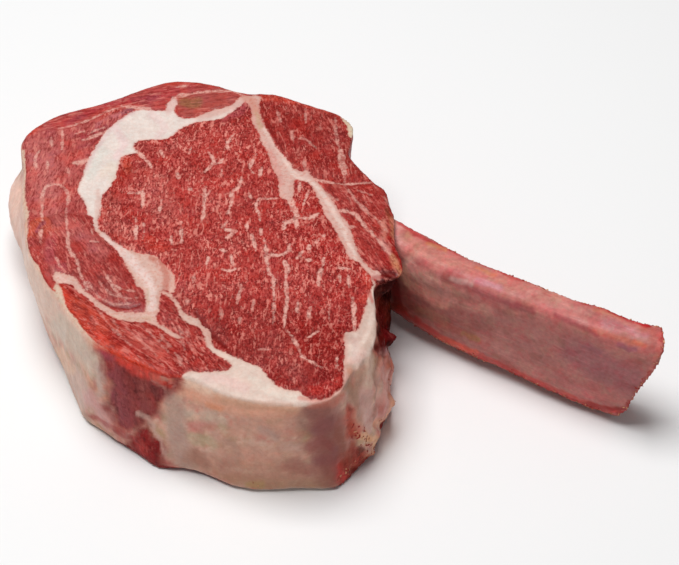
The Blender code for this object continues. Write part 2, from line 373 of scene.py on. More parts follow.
@dataclass(frozen=True)
class FatArea:
    """A patch of fat on the cut face, outlined in pixels of the photo.

    Attributes:
        outline: The pixels round it.
        tint: Its colour.
        blush: How much pink runs through it.
    """

    outline: tuple[Point, ...]
    tint: Tint
    blush: float = 1.0


@dataclass(frozen=True)
class Stroke:
    """A line on the cut face, in pixels of the photo, that thins out towards both ends.

    Attributes:
        line: The pixels it passes through.
        width: Its width at the middle, in millimetres.
        taper: The share of that width left at the ends.
        strength: How much of the lean below it hides.
    """

    line: tuple[Point, ...]
    width: float = 1.1
    taper: float = 0.5
    strength: float = 0.9


def strokes(strength: float, *rows: tuple[Any, ...]) -> tuple[Stroke, ...]:
    """Strokes of one strength.

    Args:
        strength: How much of the lean below them they hide.
        *rows: Each one's line and width, and its taper where it has its own.

    Returns:
        The strokes.
    """
    return tuple(Stroke(*row, strength=strength) for row in rows)


@dataclass(frozen=True)
class Muscle:
    """One muscle of the cut face.

    Attributes:
        outline: The pixels round it; its edges hide below the seams of fat.
        tint: The colour of its lean.
        grain: The plan direction of its fibres, in degrees from +X.
        flecks: How much fine marbling it has, where the eye has 1.
        run: How much longer its fibres look than those of the eye, which the cut goes across.
    """

    outline: tuple[Point, ...]
    tint: Tint
    grain: float
    flecks: float = 1.0
    run: float = 1.0


class Tissue(Enum):
    """What a touch of colour lies on."""

    LEAN = "lean"
    FAT = "fat"
    BOTH = "both"


@dataclass(frozen=True)
class Touch:
    """A soft streak or spot of colour, in pixels of the photo.

    Attributes:
        line: The pixels it passes through.
        width: Its full width in pixels.
        tint: Its colour.
        strength: How much of the colour below it hides.
        tissue: What it lies on.
    """

    line: tuple[Point, ...]
    width: float
    tint: Tint
    strength: float = 0.7
    tissue: Tissue = Tissue.BOTH

    def share(self, pixels: Array) -> Array:
        """How much of it each of these pixels shows."""
        away, _ = distance_to_legs(pixels, smooth_path(self.line, closed=False))
        return self.strength * ease(self.width * 0.75, self.width * 0.2, away)


def touches(tissue: Tissue, *rows: tuple[Any, ...]) -> tuple[Touch, ...]:
    """Touches on one tissue.

    Args:
        tissue: What they lie on.
        *rows: Each one's line, width, colour and strength.

    Returns:
        The touches, in the order in which they are laid.
    """
    return tuple(Touch(*row, tissue) for row in rows)


@dataclass(frozen=True)
class BaredLean:
    """Lean that lies bare on the side, and the hollow by the root of the bone with its painted
    shade, outlined in pixels of the photo.

    Attributes:
        outline: The pixels round it.
        tint: Its colour.
    """

    outline: tuple[Point, ...]
    tint: Tint


@dataclass(frozen=True)
class Lump:
    """A knob, notch or corner of the outline, at a pixel of the photo.

    Attributes:
        spot: The pixel.
        reach: How far it goes, in pixels.
        push: How far and which way the surface stands out there, in millimetres.
    """

    spot: Point
    reach: float
    push: tuple[float, float, float]

    def shift(self, pixels: Array) -> Array:
        """How far it moves the points that show at these pixels."""
        away = np.hypot(*(pixels - self.spot).T)
        return ease(self.reach, 0.0, away)[:, None] * self.push


KERNEL_FAT = FatArea(
    (
        (94, 224), (92, 215), (88, 212), (85.5, 202), (78, 191), (79, 183), (82, 177), (84, 170),
        (86, 164), (90.5, 154.5), (96, 146), (101, 137), (105, 131), (116, 121), (125, 115),
        (131, 111.5), (141, 108.5), (164, 109), (166, 105), (172, 97.5), (175.5, 97.5), (177, 101),
        (174.5, 108.5), (178, 114), (184, 116), (195, 115), (203, 111.5), (213, 108), (220, 106.5),
        (231, 103), (237, 97.5), (241, 94.5), (247, 96), (243, 102), (236, 107), (231, 111),
        (220, 117.5), (208, 118.5), (192, 121), (180, 127), (172, 134), (164, 137.5),
        (142, 137.5), (135.5, 140.5), (133.5, 146), (137, 151), (128, 153), (121.5, 156),
        (118, 165), (116, 175), (110, 185), (102, 194), (100, 208), (98, 216), (96.5, 224.5),
    ),
    Tint(237, 222, 213),
    0.35,
)
RIGHT_SEAM = FatArea(
    (
        (241, 94), (249, 103), (252, 112), (252, 118), (254, 124), (258, 131), (261, 140),
        (266, 148), (270, 157), (272, 166), (276, 173), (278.5, 181), (279, 193), (283, 198),
        (289, 200), (293, 196), (294, 190), (294, 181), (297, 178.5), (303, 180), (308.5, 181),
        (311, 184), (315, 190), (318.5, 199), (322, 206), (326, 214), (331, 222), (336, 230),
        (340, 238), (345, 247), (348, 256), (354, 258.5), (359, 261), (364, 267), (370, 273.5),
        (375, 277.5), (379, 279), (381, 275), (379, 269.5), (373, 268), (368, 264), (363, 259),
        (360, 254), (357, 247), (354, 238), (351, 229), (349, 223), (345.5, 218), (341, 212),
        (335, 202), (330, 195), (325, 189), (319, 182), (313, 176), (308, 170.5), (300, 169.5),
        (294, 167), (290, 161), (285, 155.5), (280, 150.5), (275.5, 144), (271, 136), (267, 128),
        (262.5, 119), (259.5, 111), (259.5, 101), (259, 94),
    ),
    Tint(225, 182, 170),
)
LOWER_LEFT_SEAM = FatArea(
    (
        (95, 225), (101, 228), (108, 234), (116, 241), (128, 247.5), (138, 251.5), (150.5, 254),
        (159.5, 259), (166, 267), (172, 272), (174.5, 279), (174.5, 289), (170, 291), (165, 288.5),
        (160.5, 290), (159.5, 297), (159, 308), (157, 313), (156.5, 319), (160, 322.5),
        (166, 326), (174, 331), (180, 335.5), (176, 336.5), (165, 330.5), (152, 322),
        (140, 320.5), (128, 319.5), (115, 317), (105, 310.5), (94.5, 303), (87, 295.5), (77, 289),
        (71, 282), (56, 281), (54, 271), (69, 274.5), (76.5, 278.5), (82, 286), (89, 292),
        (97, 298.5), (108, 305), (115, 309), (130, 310.5), (144, 310.5), (145, 297),
        (142.5, 288), (136, 285.5), (134, 278.5), (127.5, 267), (124, 259.5), (118.5, 252),
        (114, 245.5), (106, 239), (99, 231.5), (94, 227),
    ),
    Tint(224, 184, 170),
)
SEAM_KNOT = FatArea(
    (
        (177, 306), (183, 310), (191, 314.5), (199, 317), (200.5, 322), (197, 324), (188, 321.5),
        (181, 316),
    ),
    Tint(222, 186, 172),
)
FRONT_FAT = FatArea(
    (
        (182, 375), (188, 371.5), (199, 371.5), (210, 370.5), (221, 370), (228, 368.5),
        (231.5, 364.5), (229, 361), (224, 357), (218, 353), (212, 348.5), (211, 345),
        (217, 346.5), (226, 351), (236, 356), (248.5, 362), (260, 366.5), (267, 375), (276, 384),
        (284, 388.5), (292, 390), (300, 391.5), (307, 397), (316, 399), (328, 397), (338, 390),
        (343, 385), (343.5, 372), (344.5, 354), (344.5, 332), (347.5, 330.5), (356.5, 330.5),
        (360, 324), (363, 315), (365.5, 307), (368, 297), (371.5, 287), (375, 281), (376.5, 285),
        (377.5, 300), (378, 335), (374, 355), (364, 370), (352, 382), (346, 396), (330, 408),
        (310, 418), (280, 418), (250, 412), (222, 402), (200, 393), (182, 384),
    ),
    Tint(232, 207, 193),
    0.3,
)
LEFT_RIM_FAT = FatArea(
    (
        (24, 150), (24, 180), (25, 200), (29, 212), (26.5, 221), (26, 246), (30.5, 259),
        (38, 264.5), (39.5, 278), (44.5, 290), (51, 296), (54, 289), (54, 283), (57, 282),
        (60, 285), (64, 297.5), (67, 308), (75, 316), (81, 325.5), (88, 333.5), (96, 341),
        (103, 346.5), (108, 350), (104, 356), (92, 350), (74, 338), (58, 324),
        (43, 302), (28, 286), (14, 262), (8, 220), (8, 190), (16, 158),
    ),
    Tint(226, 198, 176),
)
RIM_CREAM = FatArea(
    ((341, 116), (349, 120), (358, 124), (358, 134), (350, 136), (347, 127)), Tint(224, 206, 180)
)
FAT_AREAS: tuple[FatArea, ...] = (
    LEFT_RIM_FAT,
    LOWER_LEFT_SEAM,
    SEAM_KNOT,
    RIGHT_SEAM,
    FRONT_FAT,
    RIM_CREAM,
    KERNEL_FAT,
)

SEAM_STROKES: tuple[Stroke, ...] = (
    Stroke(((162, 290), (170, 294), (175, 300), (180, 307)), 1.5, 0.8),
    Stroke(((197, 322), (204, 327), (207, 333), (208.5, 340), (212, 346), (219, 352)), 2.2, 0.7),
    Stroke(((372, 276), (375, 284), (375.5, 298)), 1.0, 0.8),
    Stroke(((95, 222), (99, 229), (106, 236)), 1.5, 0.8),
)
EYE_VEINS = strokes(
    0.9,
    (((134, 148), (138, 152), (147, 161), (152, 168)), 1.5),
    (((209, 152), (213, 159), (214, 163), (209, 168), (205, 172)), 1.5),
    (((215, 164), (220, 163), (223, 159)), 1.1),
    (((222, 170), (222, 177)), 1.0),
    (((234, 133), (230, 139), (227, 144), (229, 150)), 1.3),
    (((256, 154), (252, 162), (250, 168), (254, 173)), 1.3),
    (((262, 167), (259, 177)), 1.1),
    (((242, 177), (238, 188), (232, 193), (231, 203), (228, 213)), 1.4),
    (((205, 187), (204, 200), (204, 212), (202, 220)), 1.3),
    (((210, 191), (205, 197)), 0.9),
    (((189, 188), (193, 191)), 1.6),
    (((177, 174), (179, 179)), 1.3),
    (((249, 193), (251, 198)), 1.6),
    (((261, 229), (261, 235)), 1.4),
    (((227, 221), (222, 227)), 1.3),
    (((226, 229), (234, 231), (228, 237)), 2.0, 0.7),
    (((252, 234), (254, 243), (256, 251)), 1.2),
    (((221, 250), (226, 251)), 1.7),
    (((222, 270), (229, 271), (236, 269)), 1.2),
    (((264, 238), (266, 250), (267, 262), (268, 272)), 1.4),
    (((267, 254), (277, 256), (288, 252), (289, 245)), 1.5),
    (((267, 264), (269, 273), (273, 278), (274, 299)), 1.3),
    (((284, 262), (288, 272)), 2.2, 0.7),
    (((286, 274), (286, 286), (287, 300)), 1.3),
    (((309, 246), (310, 252)), 1.6),
    (((302, 252), (297, 259)), 1.7),
    (((307, 260), (312, 261)), 1.5),
    (((320, 238), (316, 243)), 1.2),
    (((325, 234), (322, 238)), 1.0),
    (((324, 258), (322, 268), (319, 277), (319, 286)), 1.5),
    (((337, 268), (350, 269)), 1.0),
    (((343, 257), (352, 258)), 0.9),
    (((340, 275), (340, 283)), 0.9),
    (((348, 272), (349, 288)), 1.0),
    (((129, 193), (136, 193), (143, 194), (142, 207)), 1.6),
    (((136, 217), (136, 238)), 1.3),
    (((143, 222), (144, 231)), 0.9),
    (((161, 200), (160, 212)), 0.9),
    (((181, 221), (182, 243)), 1.0),
    (((160, 150), (163, 157)), 1.0),
    (((192, 146), (189, 154)), 1.0),
    (((241, 285), (239, 296), (237, 304)), 1.1),
    (((195, 274), (193, 282)), 1.1),
    (((188, 296), (187, 303)), 1.0),
    (((208, 257), (207, 266)), 1.1),
    (((171, 236), (172, 247)), 0.9),
    (((274, 303), (274, 313)), 1.3),
    (((274, 314), (273, 325)), 1.2),
    (((288, 288), (286, 308), (284, 327)), 1.4),
    (((284, 327), (291, 335), (297, 346), (302, 357)), 1.2),
    (((302, 357), (310, 361), (322, 368)), 0.9),
    (((221, 308), (221, 318)), 1.2),
    (((240, 317), (240, 324)), 1.0),
    (((254, 300), (252, 309)), 1.0),
    (((259, 349), (272, 350)), 1.0),
    (((310, 306), (308, 318)), 1.1),
    (((330, 300), (329, 318)), 1.0),
    (((318, 330), (308, 337)), 0.9),
    (((353, 298), (354, 314), (354, 330)), 1.5),
    (((338, 355), (336, 368)), 0.9),
    (((298, 300), (297, 312)), 1.0),
    (((231, 255), (233, 266)), 0.9),
    (((247, 222), (247, 230)), 1.0),
    (((285, 197), (275, 198.5), (262, 199), (257, 201), (256, 207), (259, 214), (260, 221)), 1.1),
    (((290, 199), (293, 207), (297, 215)), 2.6, 0.8),
    (((297, 216), (291, 221), (285, 223), (284, 229)), 2.0, 0.6),
    (((298, 217), (308, 218), (319, 212)), 1.7),
    (((296, 217), (297, 229)), 1.6),
    (((309, 189), (306, 197), (303, 205)), 1.2),
    (((300, 182), (299, 192)), 1.0),
)
CAP_VEINS = strokes(
    0.75,
    (((309, 176), (319, 179), (332, 182), (345, 183), (370, 181)), 1.1),
    (((339, 208), (347, 210), (355, 213), (360, 219), (367, 228), (373, 233)), 1.7),
    (((372, 233), (379, 241), (385, 249), (390, 254)), 1.4),
    (((341, 150), (342, 160), (344, 173)), 2.6, 0.7),
)
LEFT_VEINS = strokes(
    0.72,
    (((58, 129), (72, 126), (86, 121), (100, 114.5), (112, 109), (122, 106)), 1.0, 0.7),
    (((51, 137), (52, 147), (57, 151)), 0.8, 0.8),
    (((62, 130), (62.5, 139), (62, 149)), 0.9, 0.8),
    (((40, 150), (36, 156), (35.5, 166), (38, 174)), 1.0, 0.7),
    (((47, 160), (48, 172)), 0.7),
    (((68, 168), (69, 178)), 0.7),
    (((88, 134), (96, 130), (104, 127)), 0.9),
    (((74, 134), (84, 131)), 0.7),
    (((187, 94), (196, 92.5), (211, 91), (231, 90), (244, 93)), 1.3, 0.7),
    (((176, 87), (188, 85)), 1.2),
    (((173, 98), (180, 95), (188, 94)), 2.0, 0.8),
    (((122, 106), (135, 107), (150, 108)), 1.6, 0.8),
    (((106, 131), (96, 135), (84, 140)), 1.7, 0.7),
    (((88, 158), (82, 162), (73, 163)), 1.9, 0.7),
    (((42, 220), (42, 206), (43.5, 190), (50, 185), (59, 184.5), (66, 189), (70, 197)), 1.2, 0.8),
    (((66, 190), (68, 200), (66, 210)), 0.8),
    (((66, 212), (67.5, 233), (69.5, 251), (76.5, 260), (79, 272)), 1.2),
    (((79, 272), (84, 281), (87, 288)), 1.0),
    (((30, 216), (27.5, 222), (26.5, 236)), 1.0),
    (((43, 227), (41, 234), (40, 242)), 1.1),
    (((54, 254), (61, 267)), 0.8),
    (((90, 240), (99, 241)), 0.9),
    (((106, 275), (115, 290), (125, 300)), 1.2),
    (((91, 227), (93, 236)), 0.8),
    (((88, 281), (100, 296), (116, 303), (134, 303)), 0.8, 0.7),
    (((97, 279), (108, 291), (122, 298), (138, 298)), 0.8, 0.7),
    (((106, 278), (118, 288), (136, 292)), 0.8),
    (((96, 306), (106, 320), (116, 332)), 0.7),
    (((126, 326), (142, 342), (158, 356)), 0.8),
    (((139, 323), (154, 337), (169, 353)), 0.8),
    (((178, 326), (182, 333)), 1.2),
    (((186, 328), (189, 336)), 1.1),
    (((180, 340), (184, 346)), 1.1),
    (((188, 342), (192, 350)), 1.0),
    (((112, 318), (117, 325), (118, 332), (124, 339), (131, 345)), 1.1),
    (((160, 333), (166, 342), (171, 349)), 1.3),
    (((175, 353), (180, 359), (181, 366)), 1.8),
    (((176, 333), (184, 337)), 1.1),
    (((183, 341), (185, 350)), 1.1),
    (((150, 322), (159, 325)), 1.3),
    (((84, 318), (92, 327)), 0.8),
)
CAP_THREADS = strokes(
    0.5,
    (((345, 184), (350, 192), (356, 200), (363, 207), (370, 213), (378, 220), (388, 232)), 1.3),
    (((335, 118), (336, 135), (340, 151)), 1.2),
    (((344, 172), (345, 185)), 1.2),
    (((277, 111), (281, 123)), 1.3),
    (((291, 132), (294, 143)), 1.0),
    (((300, 139), (307, 141), (317, 149)), 1.0),
    (((320, 126), (322, 131)), 1.2),
    (((304, 158), (305, 170)), 1.3),
    (((305, 110), (306, 124)), 0.9),
    (((326, 190), (332, 197), (338, 199)), 1.0),
    (((348, 225), (357, 226)), 1.3),
    (((384, 196), (391, 206)), 0.9),
    (((357, 190), (372, 195)), 0.8),
)
VEINS = (*EYE_VEINS, *CAP_VEINS, *LEFT_VEINS, *CAP_THREADS)

DARK_STROKES: tuple[Stroke, ...] = (
    Stroke(((94, 272), (106, 285), (115, 298)), 1.2),
    Stroke(((97, 298), (111, 304), (128, 307), (140, 305)), 1.7),
    Stroke(((273, 158), (274, 163)), 1.5, 0.9),
    Stroke(((262, 113), (270, 129), (284, 151)), 1.2),
    Stroke(((196, 311), (210, 330), (226, 345)), 2.4),
    Stroke(((185, 119), (196, 118)), 1.0),
    Stroke(((100, 135), (89, 148)), 0.9),
    Stroke(((174, 311), (176, 312)), 1.0),
    # these two: painted shade along the top edge of the hollow by the root of the bone
    Stroke(((382, 272), (391, 274), (400, 279)), 3.2, 0.8),
    Stroke(((379, 279), (386, 281), (394, 284)), 2.6, 0.8),
)

MUSCLES: tuple[Muscle, ...] = (
    Muscle(  # the cap, right of the seam
        (
            (259, 90), (300, 98), (356, 114), (362, 130), (356, 150), (366, 165), (384, 183),
            (345, 184), (330, 181), (318, 178), (308, 172), (296, 169), (284, 152), (270, 132),
            (262, 114),
        ),
        Tint(160, 45, 39), 100.0, 0.62, 1.2,
    ),
    Muscle(  # between the seam and the bone
        (
            (318, 180), (345, 184), (384, 183), (400, 200), (408, 232), (414, 262), (410, 292),
            (384, 290), (378, 279), (368, 266), (358, 250), (350, 228), (340, 210), (325, 190),
        ),
        Tint(168, 50, 43), 118.0, 0.6, 1.6,
    ),
    Muscle(  # along the back
        (
            (60, 131), (78, 125), (98, 117), (113, 108), (131, 110), (141, 107), (164, 108),
            (172, 97), (182, 93), (211, 90), (246, 93), (258, 86), (246, 76), (150, 70),
            (110, 84), (80, 100), (50, 112), (20, 126), (20, 140),
        ),
        Tint(183, 70, 66), 15.0, 0.55, 2.6,
    ),
    Muscle(  # the small one in the back of the seam
        (
            (176, 99), (190, 95), (212, 92), (240, 94), (230, 103), (213, 108), (195, 114),
            (181, 113),
        ),
        Tint(176, 74, 66), 8.0, 0.4, 2.0,
    ),
    Muscle(  # left of the kernel of fat
        (
            (10, 150), (16, 134), (60, 130), (80, 125), (100, 117), (125, 113), (108, 131),
            (98, 146), (88, 163), (82, 178), (79, 191), (88, 202), (92, 215), (66, 213),
            (40, 219), (20, 206),
        ),
        Tint(187, 83, 79), 84.0, 0.6, 1.5,
    ),
    Muscle(  # the tongue
        (
            (16, 224), (40, 219), (66, 213), (92, 215), (98, 227), (116, 243), (129, 267),
            (137, 285), (146, 297), (146, 311), (115, 310), (89, 293), (70, 275), (54, 271),
            (54, 298), (40, 292), (30, 266), (24, 258),
        ),
        Tint(168, 56, 51), 118.0, 0.55, 1.6,
    ),
    Muscle(  # the lower left
        (
            (54, 278), (71, 279), (87, 293), (105, 308), (128, 316), (152, 319), (168, 328),
            (182, 337), (186, 350), (184, 366), (192, 373), (165, 386), (145, 380), (112, 362),
            (100, 348), (84, 333), (70, 314), (58, 298),
        ),
        Tint(170, 46, 38), 140.0, 0.62, 2.4,
    ),
    Muscle(  # the wedge between the seams
        (
            (158, 289), (172, 294), (184, 312), (198, 322), (208, 342), (228, 358), (230, 369),
            (190, 373), (182, 360), (180, 337), (165, 327), (155, 318), (158, 308),
        ),
        Tint(168, 52, 46), 125.0, 0.7, 1.3,
    ),
)
EYE_TINT = Tint(178, 56, 50)
EYE_LOW_TINT = Tint(150, 35, 31)
EYE_GRAIN = 90.0
VEIN_TINT = Tint(240, 184, 169)
WEB_TINT = Tint(231, 140, 126)

FACE_LEAN_TOUCHES = touches(
    Tissue.LEAN,
    # bright rim and stripes of the lower left
    (((58, 288), (72, 310), (84, 326), (98, 340), (118, 352), (140, 365), (160, 376)),
     12, Tint(216, 68, 44), 0.8),
    (((76, 300), (92, 316), (104, 330)), 12, Tint(212, 76, 50), 0.6),
    (((91, 318), (95, 322)), 5, Tint(222, 150, 140), 0.6),
    (((86, 312), (90, 318)), 4, Tint(140, 30, 26), 0.6),
    (((160, 362), (170, 368), (176, 374)), 8, Tint(178, 40, 32), 0.6),
    (((150, 372), (166, 378), (182, 376)), 8, Tint(206, 62, 48), 0.8),
    (((84, 300), (105, 318), (122, 331)), 5, Tint(206, 84, 62), 0.5),
    (((73, 293), (95, 308), (118, 319), (150, 324)), 4, Tint(158, 42, 34), 0.7),
    (((130, 336), (150, 344), (160, 356)), 12, Tint(206, 96, 82), 0.5),
    (((168, 330), (180, 345), (200, 362), (222, 366)), 9, Tint(166, 46, 38), 0.6),
    # tongue and left
    (((32, 230), (44, 224), (52, 232)), 14, Tint(204, 84, 60), 0.75),
    (((34, 250), (42, 268), (49, 284)), 10, Tint(196, 62, 52), 0.6),
    (((62, 224), (84, 236), (100, 252)), 18, Tint(194, 102, 98), 0.6),
    (((84, 272), (108, 288), (134, 298)), 18, Tint(166, 62, 56), 0.6),
    (((36, 150), (46, 175), (48, 205)), 26, Tint(200, 112, 108), 0.6),
    (((52, 236), (50, 258), (62, 268)), 10, Tint(186, 82, 92), 0.5),
    (((70, 150), (66, 180), (72, 206)), 10, Tint(176, 70, 66), 0.5),
    (((28, 236), (30, 226), (38, 221), (48, 221)), 6, Tint(206, 82, 54), 0.8),
    (((37, 232), (40, 226), (44, 223)), 4, Tint(146, 70, 92), 0.7),
    (((27, 133), (34, 129), (40, 125)), 6, Tint(204, 66, 48), 0.7),
    (((56, 150), (64, 160), (66, 172)), 16, Tint(196, 96, 92), 0.5),
    # back
    (((102, 119), (117, 113)), 4, Tint(204, 78, 58), 0.6),
    # painted shade along the top edge of the kernel of fat
    (((120, 112), (127, 110.5), (132, 109)), 4, Tint(118, 84, 108), 0.6),
    (((82, 137), (96, 131), (108, 126)), 5, Tint(152, 44, 58), 0.7),
    (((78, 148), (92, 142), (100, 134)), 4, Tint(160, 62, 72), 0.5),
    (((30, 126), (60, 112), (100, 96), (150, 84), (205, 82), (240, 88)),
     6, Tint(196, 62, 44), 0.85),
    (((66, 124), (90, 112), (112, 102), (160, 97)), 6, Tint(166, 52, 66), 0.6),
    (((96, 126), (110, 116), (124, 111)), 4, Tint(200, 130, 136), 0.4),
    (((150, 98), (164, 94), (176, 90)), 9, Tint(170, 60, 72), 0.5),
    (((183, 101), (190, 103), (198, 101)), 9, Tint(152, 96, 62), 0.9),
    (((226, 118), (238, 110), (246, 104)), 12, Tint(168, 74, 84), 0.6),
    # eye
    (((128, 170), (113, 187), (104, 208)), 11, Tint(164, 46, 38), 0.7),
    (((127, 160), (128, 170)), 9, Tint(196, 72, 50), 0.7),
    (((148, 240), (164, 249)), 10, Tint(188, 60, 44), 0.6),
    (((140, 145), (165, 148), (186, 138)), 12, Tint(170, 66, 62), 0.6),
    (((190, 128), (215, 124), (240, 120)), 8, Tint(162, 52, 46), 0.6),
    (((180, 295), (205, 320), (235, 345), (262, 362)), 13, Tint(156, 50, 44), 0.6),
    (((256, 330), (280, 352), (300, 372)), 30, Tint(162, 58, 52), 0.5),
    (((312, 390), (326, 389), (338, 380)), 11, Tint(192, 48, 40), 0.7),
    (((366, 272), (368, 285), (362, 300)), 9, Tint(212, 74, 60), 0.8),
    (((340, 268), (352, 262)), 10, Tint(176, 56, 50), 0.5),
    (((110, 200), (112, 222), (128, 232)), 18, Tint(170, 78, 70), 0.5),
    (((150, 180), (170, 215)), 30, Tint(190, 92, 84), 0.4),
    (((302, 218), (322, 250), (334, 282)), 70, Tint(172, 42, 38), 0.5),
    # cap and strip
    (((292, 104), (318, 118), (334, 140)), 24, Tint(158, 54, 48), 0.45),
    (((349, 117), (356, 130), (352, 150), (366, 166), (386, 184)), 5, Tint(200, 62, 52), 0.7),
    (((262, 97), (285, 99), (308, 104), (330, 110), (348, 117)), 8, Tint(206, 70, 50), 0.75),
    (((384, 222), (384, 232), (384, 238)), 6, Tint(198, 130, 112), 0.7),
    (((392, 218), (393, 228), (393, 236)), 6, Tint(176, 112, 78), 0.75),
    (((381, 240), (386, 248), (392, 256), (396, 263)), 6, Tint(200, 128, 118), 0.85),
    (((393, 257), (396, 266), (400, 274)), 8, Tint(200, 134, 96), 0.85),
    (((401, 274), (404, 281)), 5, Tint(184, 108, 88), 0.8),
    (((391, 238), (393, 248), (398, 256), (402, 264), (404, 270)), 5, Tint(160, 28, 26), 0.9),
    (((384, 255), (388, 264), (392, 272)), 9, Tint(176, 36, 34), 0.6),
    # these two: dark red lean darkened to near-black by painted shade along the top edge of the
    # root hollow
    (((384, 271), (394, 272)), 7, Tint(112, 24, 22), 0.85),
    (((380, 278), (390, 279), (400, 283)), 7, Tint(78, 14, 13), 0.9),
    (((387, 210), (388, 216)), 5, Tint(150, 70, 40), 0.7),
    (((345, 196), (362, 212), (380, 236)), 8, Tint(160, 50, 44), 0.5),
)
FACE_FAT_TOUCHES = touches(
    Tissue.FAT,
    (((16, 218), (22, 222)), 6, Tint(222, 150, 112), 0.7),
    (((198, 114), (220, 109), (240, 99)), 10, Tint(222, 170, 158), 0.75),
    (((168, 108), (174, 99)), 8, Tint(224, 178, 170), 0.7),
    (((86, 168), (98, 146), (116, 123), (134, 111)), 3.5, Tint(224, 190, 190), 0.5),
    (((90, 176), (98, 160), (104, 150)), 9, Tint(226, 222, 212), 0.6),
    (((103, 172), (112, 166), (112, 178)), 9, Tint(232, 214, 196), 0.5),
    (((126, 109), (140, 107), (160, 108)), 3, Tint(222, 170, 164), 0.7),
    (((116, 128), (124, 142), (116, 156)), 8, Tint(240, 208, 206), 0.6),
    (((150, 112), (164, 124), (158, 134)), 8, Tint(238, 206, 202), 0.5),
    (((98, 190), (97, 210), (96, 222)), 5, Tint(226, 186, 174), 0.6),
    (((248, 96), (256, 110), (262, 124)), 12, Tint(212, 156, 144), 0.65),
    (((284, 184), (287, 198)), 9, Tint(218, 172, 160), 0.6),
    (((264, 128), (280, 150), (294, 173), (318, 187), (340, 222), (356, 257)),
     5, Tint(240, 212, 200), 0.8),
    (((104, 236), (126, 254), (140, 270), (151, 286), (152, 306)), 10, Tint(238, 212, 204), 0.85),
    (((152, 257), (162, 266), (166.5, 276), (166, 287)), 7, Tint(202, 130, 114), 0.9),
    (((148, 252), (160, 257.5), (169.5, 268), (173, 279), (172, 289)),
     3.2, Tint(228, 182, 166), 0.85),
    (((157, 262), (161, 271), (161, 284)), 2, Tint(226, 180, 168), 0.7),
    (((256, 110), (258, 117), (260, 126)), 5, Tint(206, 172, 138), 0.6),
    (((244, 95), (252, 100), (256, 108)), 7, Tint(214, 148, 130), 0.7),
    (((270, 150), (277, 166), (281, 184)), 6, Tint(222, 160, 150), 0.7),
    (((148, 288), (148, 304)), 3, Tint(206, 172, 144), 0.6),
    (((112, 314), (130, 316), (150, 317)), 4, Tint(208, 172, 146), 0.55),
    (((60, 277), (76, 285), (92, 300), (112, 312), (140, 315)), 5, Tint(226, 184, 172), 0.6),
    (((206, 376), (226, 380), (244, 388)), 11, Tint(238, 200, 192), 0.6),
    (((252, 378), (272, 392), (296, 398)), 8, Tint(238, 222, 208), 0.6),
    (((224, 397), (246, 400), (262, 403), (292, 405)), 5, Tint(202, 152, 126), 0.5),
    (((300, 398), (316, 400), (332, 397), (344, 386), (345, 372)), 5, Tint(226, 158, 144), 0.8),
    (((346, 336), (346, 360), (346, 382)), 5, Tint(218, 176, 164), 0.7),
    (((350, 366), (354, 376), (350, 388)), 12, Tint(196, 150, 130), 0.7),
    (((362, 352), (370, 340), (377, 322)), 6, Tint(200, 170, 154), 0.6),
    (((355, 340), (355, 358)), 6, Tint(238, 214, 206), 0.6),
    (((366, 306), (360, 330), (356, 350)), 7, Tint(228, 200, 188), 0.6),
    (((347, 334), (353, 341)), 9, Tint(202, 164, 152), 0.65),
    (((360, 337), (365, 322), (370, 304)), 7, Tint(206, 174, 160), 0.6),
    (((350, 361), (358, 358), (363, 352)), 8, Tint(236, 196, 184), 0.7),
    (((350, 371), (352, 380)), 7, Tint(220, 146, 120), 0.6),
)
FACE_RIM_TOUCHES = touches(
    Tissue.BOTH,
    (((374, 276), (380, 276)), 5, Tint(176, 84, 80), 0.7),
    (((369, 290), (372, 300)), 4, Tint(206, 110, 98), 0.75),
)
FACE_TOUCHES = (*FACE_LEAN_TOUCHES, *FACE_FAT_TOUCHES, *FACE_RIM_TOUCHES)

# The hollow between the eye and the root of the bone, and the torn lean below it; the hollow's
# near-black is painted shade over dark red lean
ROOT_HOLLOW: tuple[Point, ...] = (
    (374, 278), (386, 268), (412, 258), (418, 322), (411, 354), (390, 357), (377, 351), (374, 320),
)
BARED_LEAN_AND_SHADE: tuple[BaredLean, ...] = (
    BaredLean(  # front left, below the bright rim
        ((96, 344), (120, 352), (145, 368), (165, 378), (187, 373), (184, 383), (170, 393),
         (162, 404), (157, 416), (150, 423), (140, 428), (118, 432), (112, 421), (105, 404),
         (107, 385), (102, 372), (98, 360)),
        side_tint(118, 44, 42),
    ),
    BaredLean(  # blood above the foot
        ((139, 428), (146, 424), (151, 427), (156, 437), (164, 446), (162, 456), (168, 470),
         (150, 470), (140, 460), (126, 446)),
        side_tint(112, 14, 14),
    ),
    BaredLean(((336, 470), (350, 456), (353, 478), (340, 488)), side_tint(164, 54, 48)),
    BaredLean(((347, 406), (355, 408), (357, 436), (350, 438), (346, 425)), side_tint(164, 70, 54)),
    BaredLean(((354, 442), (362, 448), (372, 460), (354, 474), (346, 460)), side_tint(130, 48, 36)),
    # painted shade: the hollow by the root of the bone, near-black over dark red lean
    BaredLean(ROOT_HOLLOW, side_tint(54, 12, 10)),
)

# Where crumbs of fat and lean lie on the side of the slab; their colours don't count
CRUMB_PLACES: tuple[Touch, ...] = (
    Touch(((359, 432), (368, 444), (374, 456)), 14, VEIN_TINT, 1.0),
    Touch(((390, 366), (395, 378), (393, 396), (393, 410), (384, 426)), 5, VEIN_TINT, 0.7),
    Touch(((340, 476), (350, 470), (362, 462)), 9, VEIN_TINT, 0.6),
    Touch(((250, 484), (262, 485)), 5, VEIN_TINT, 0.7),
)

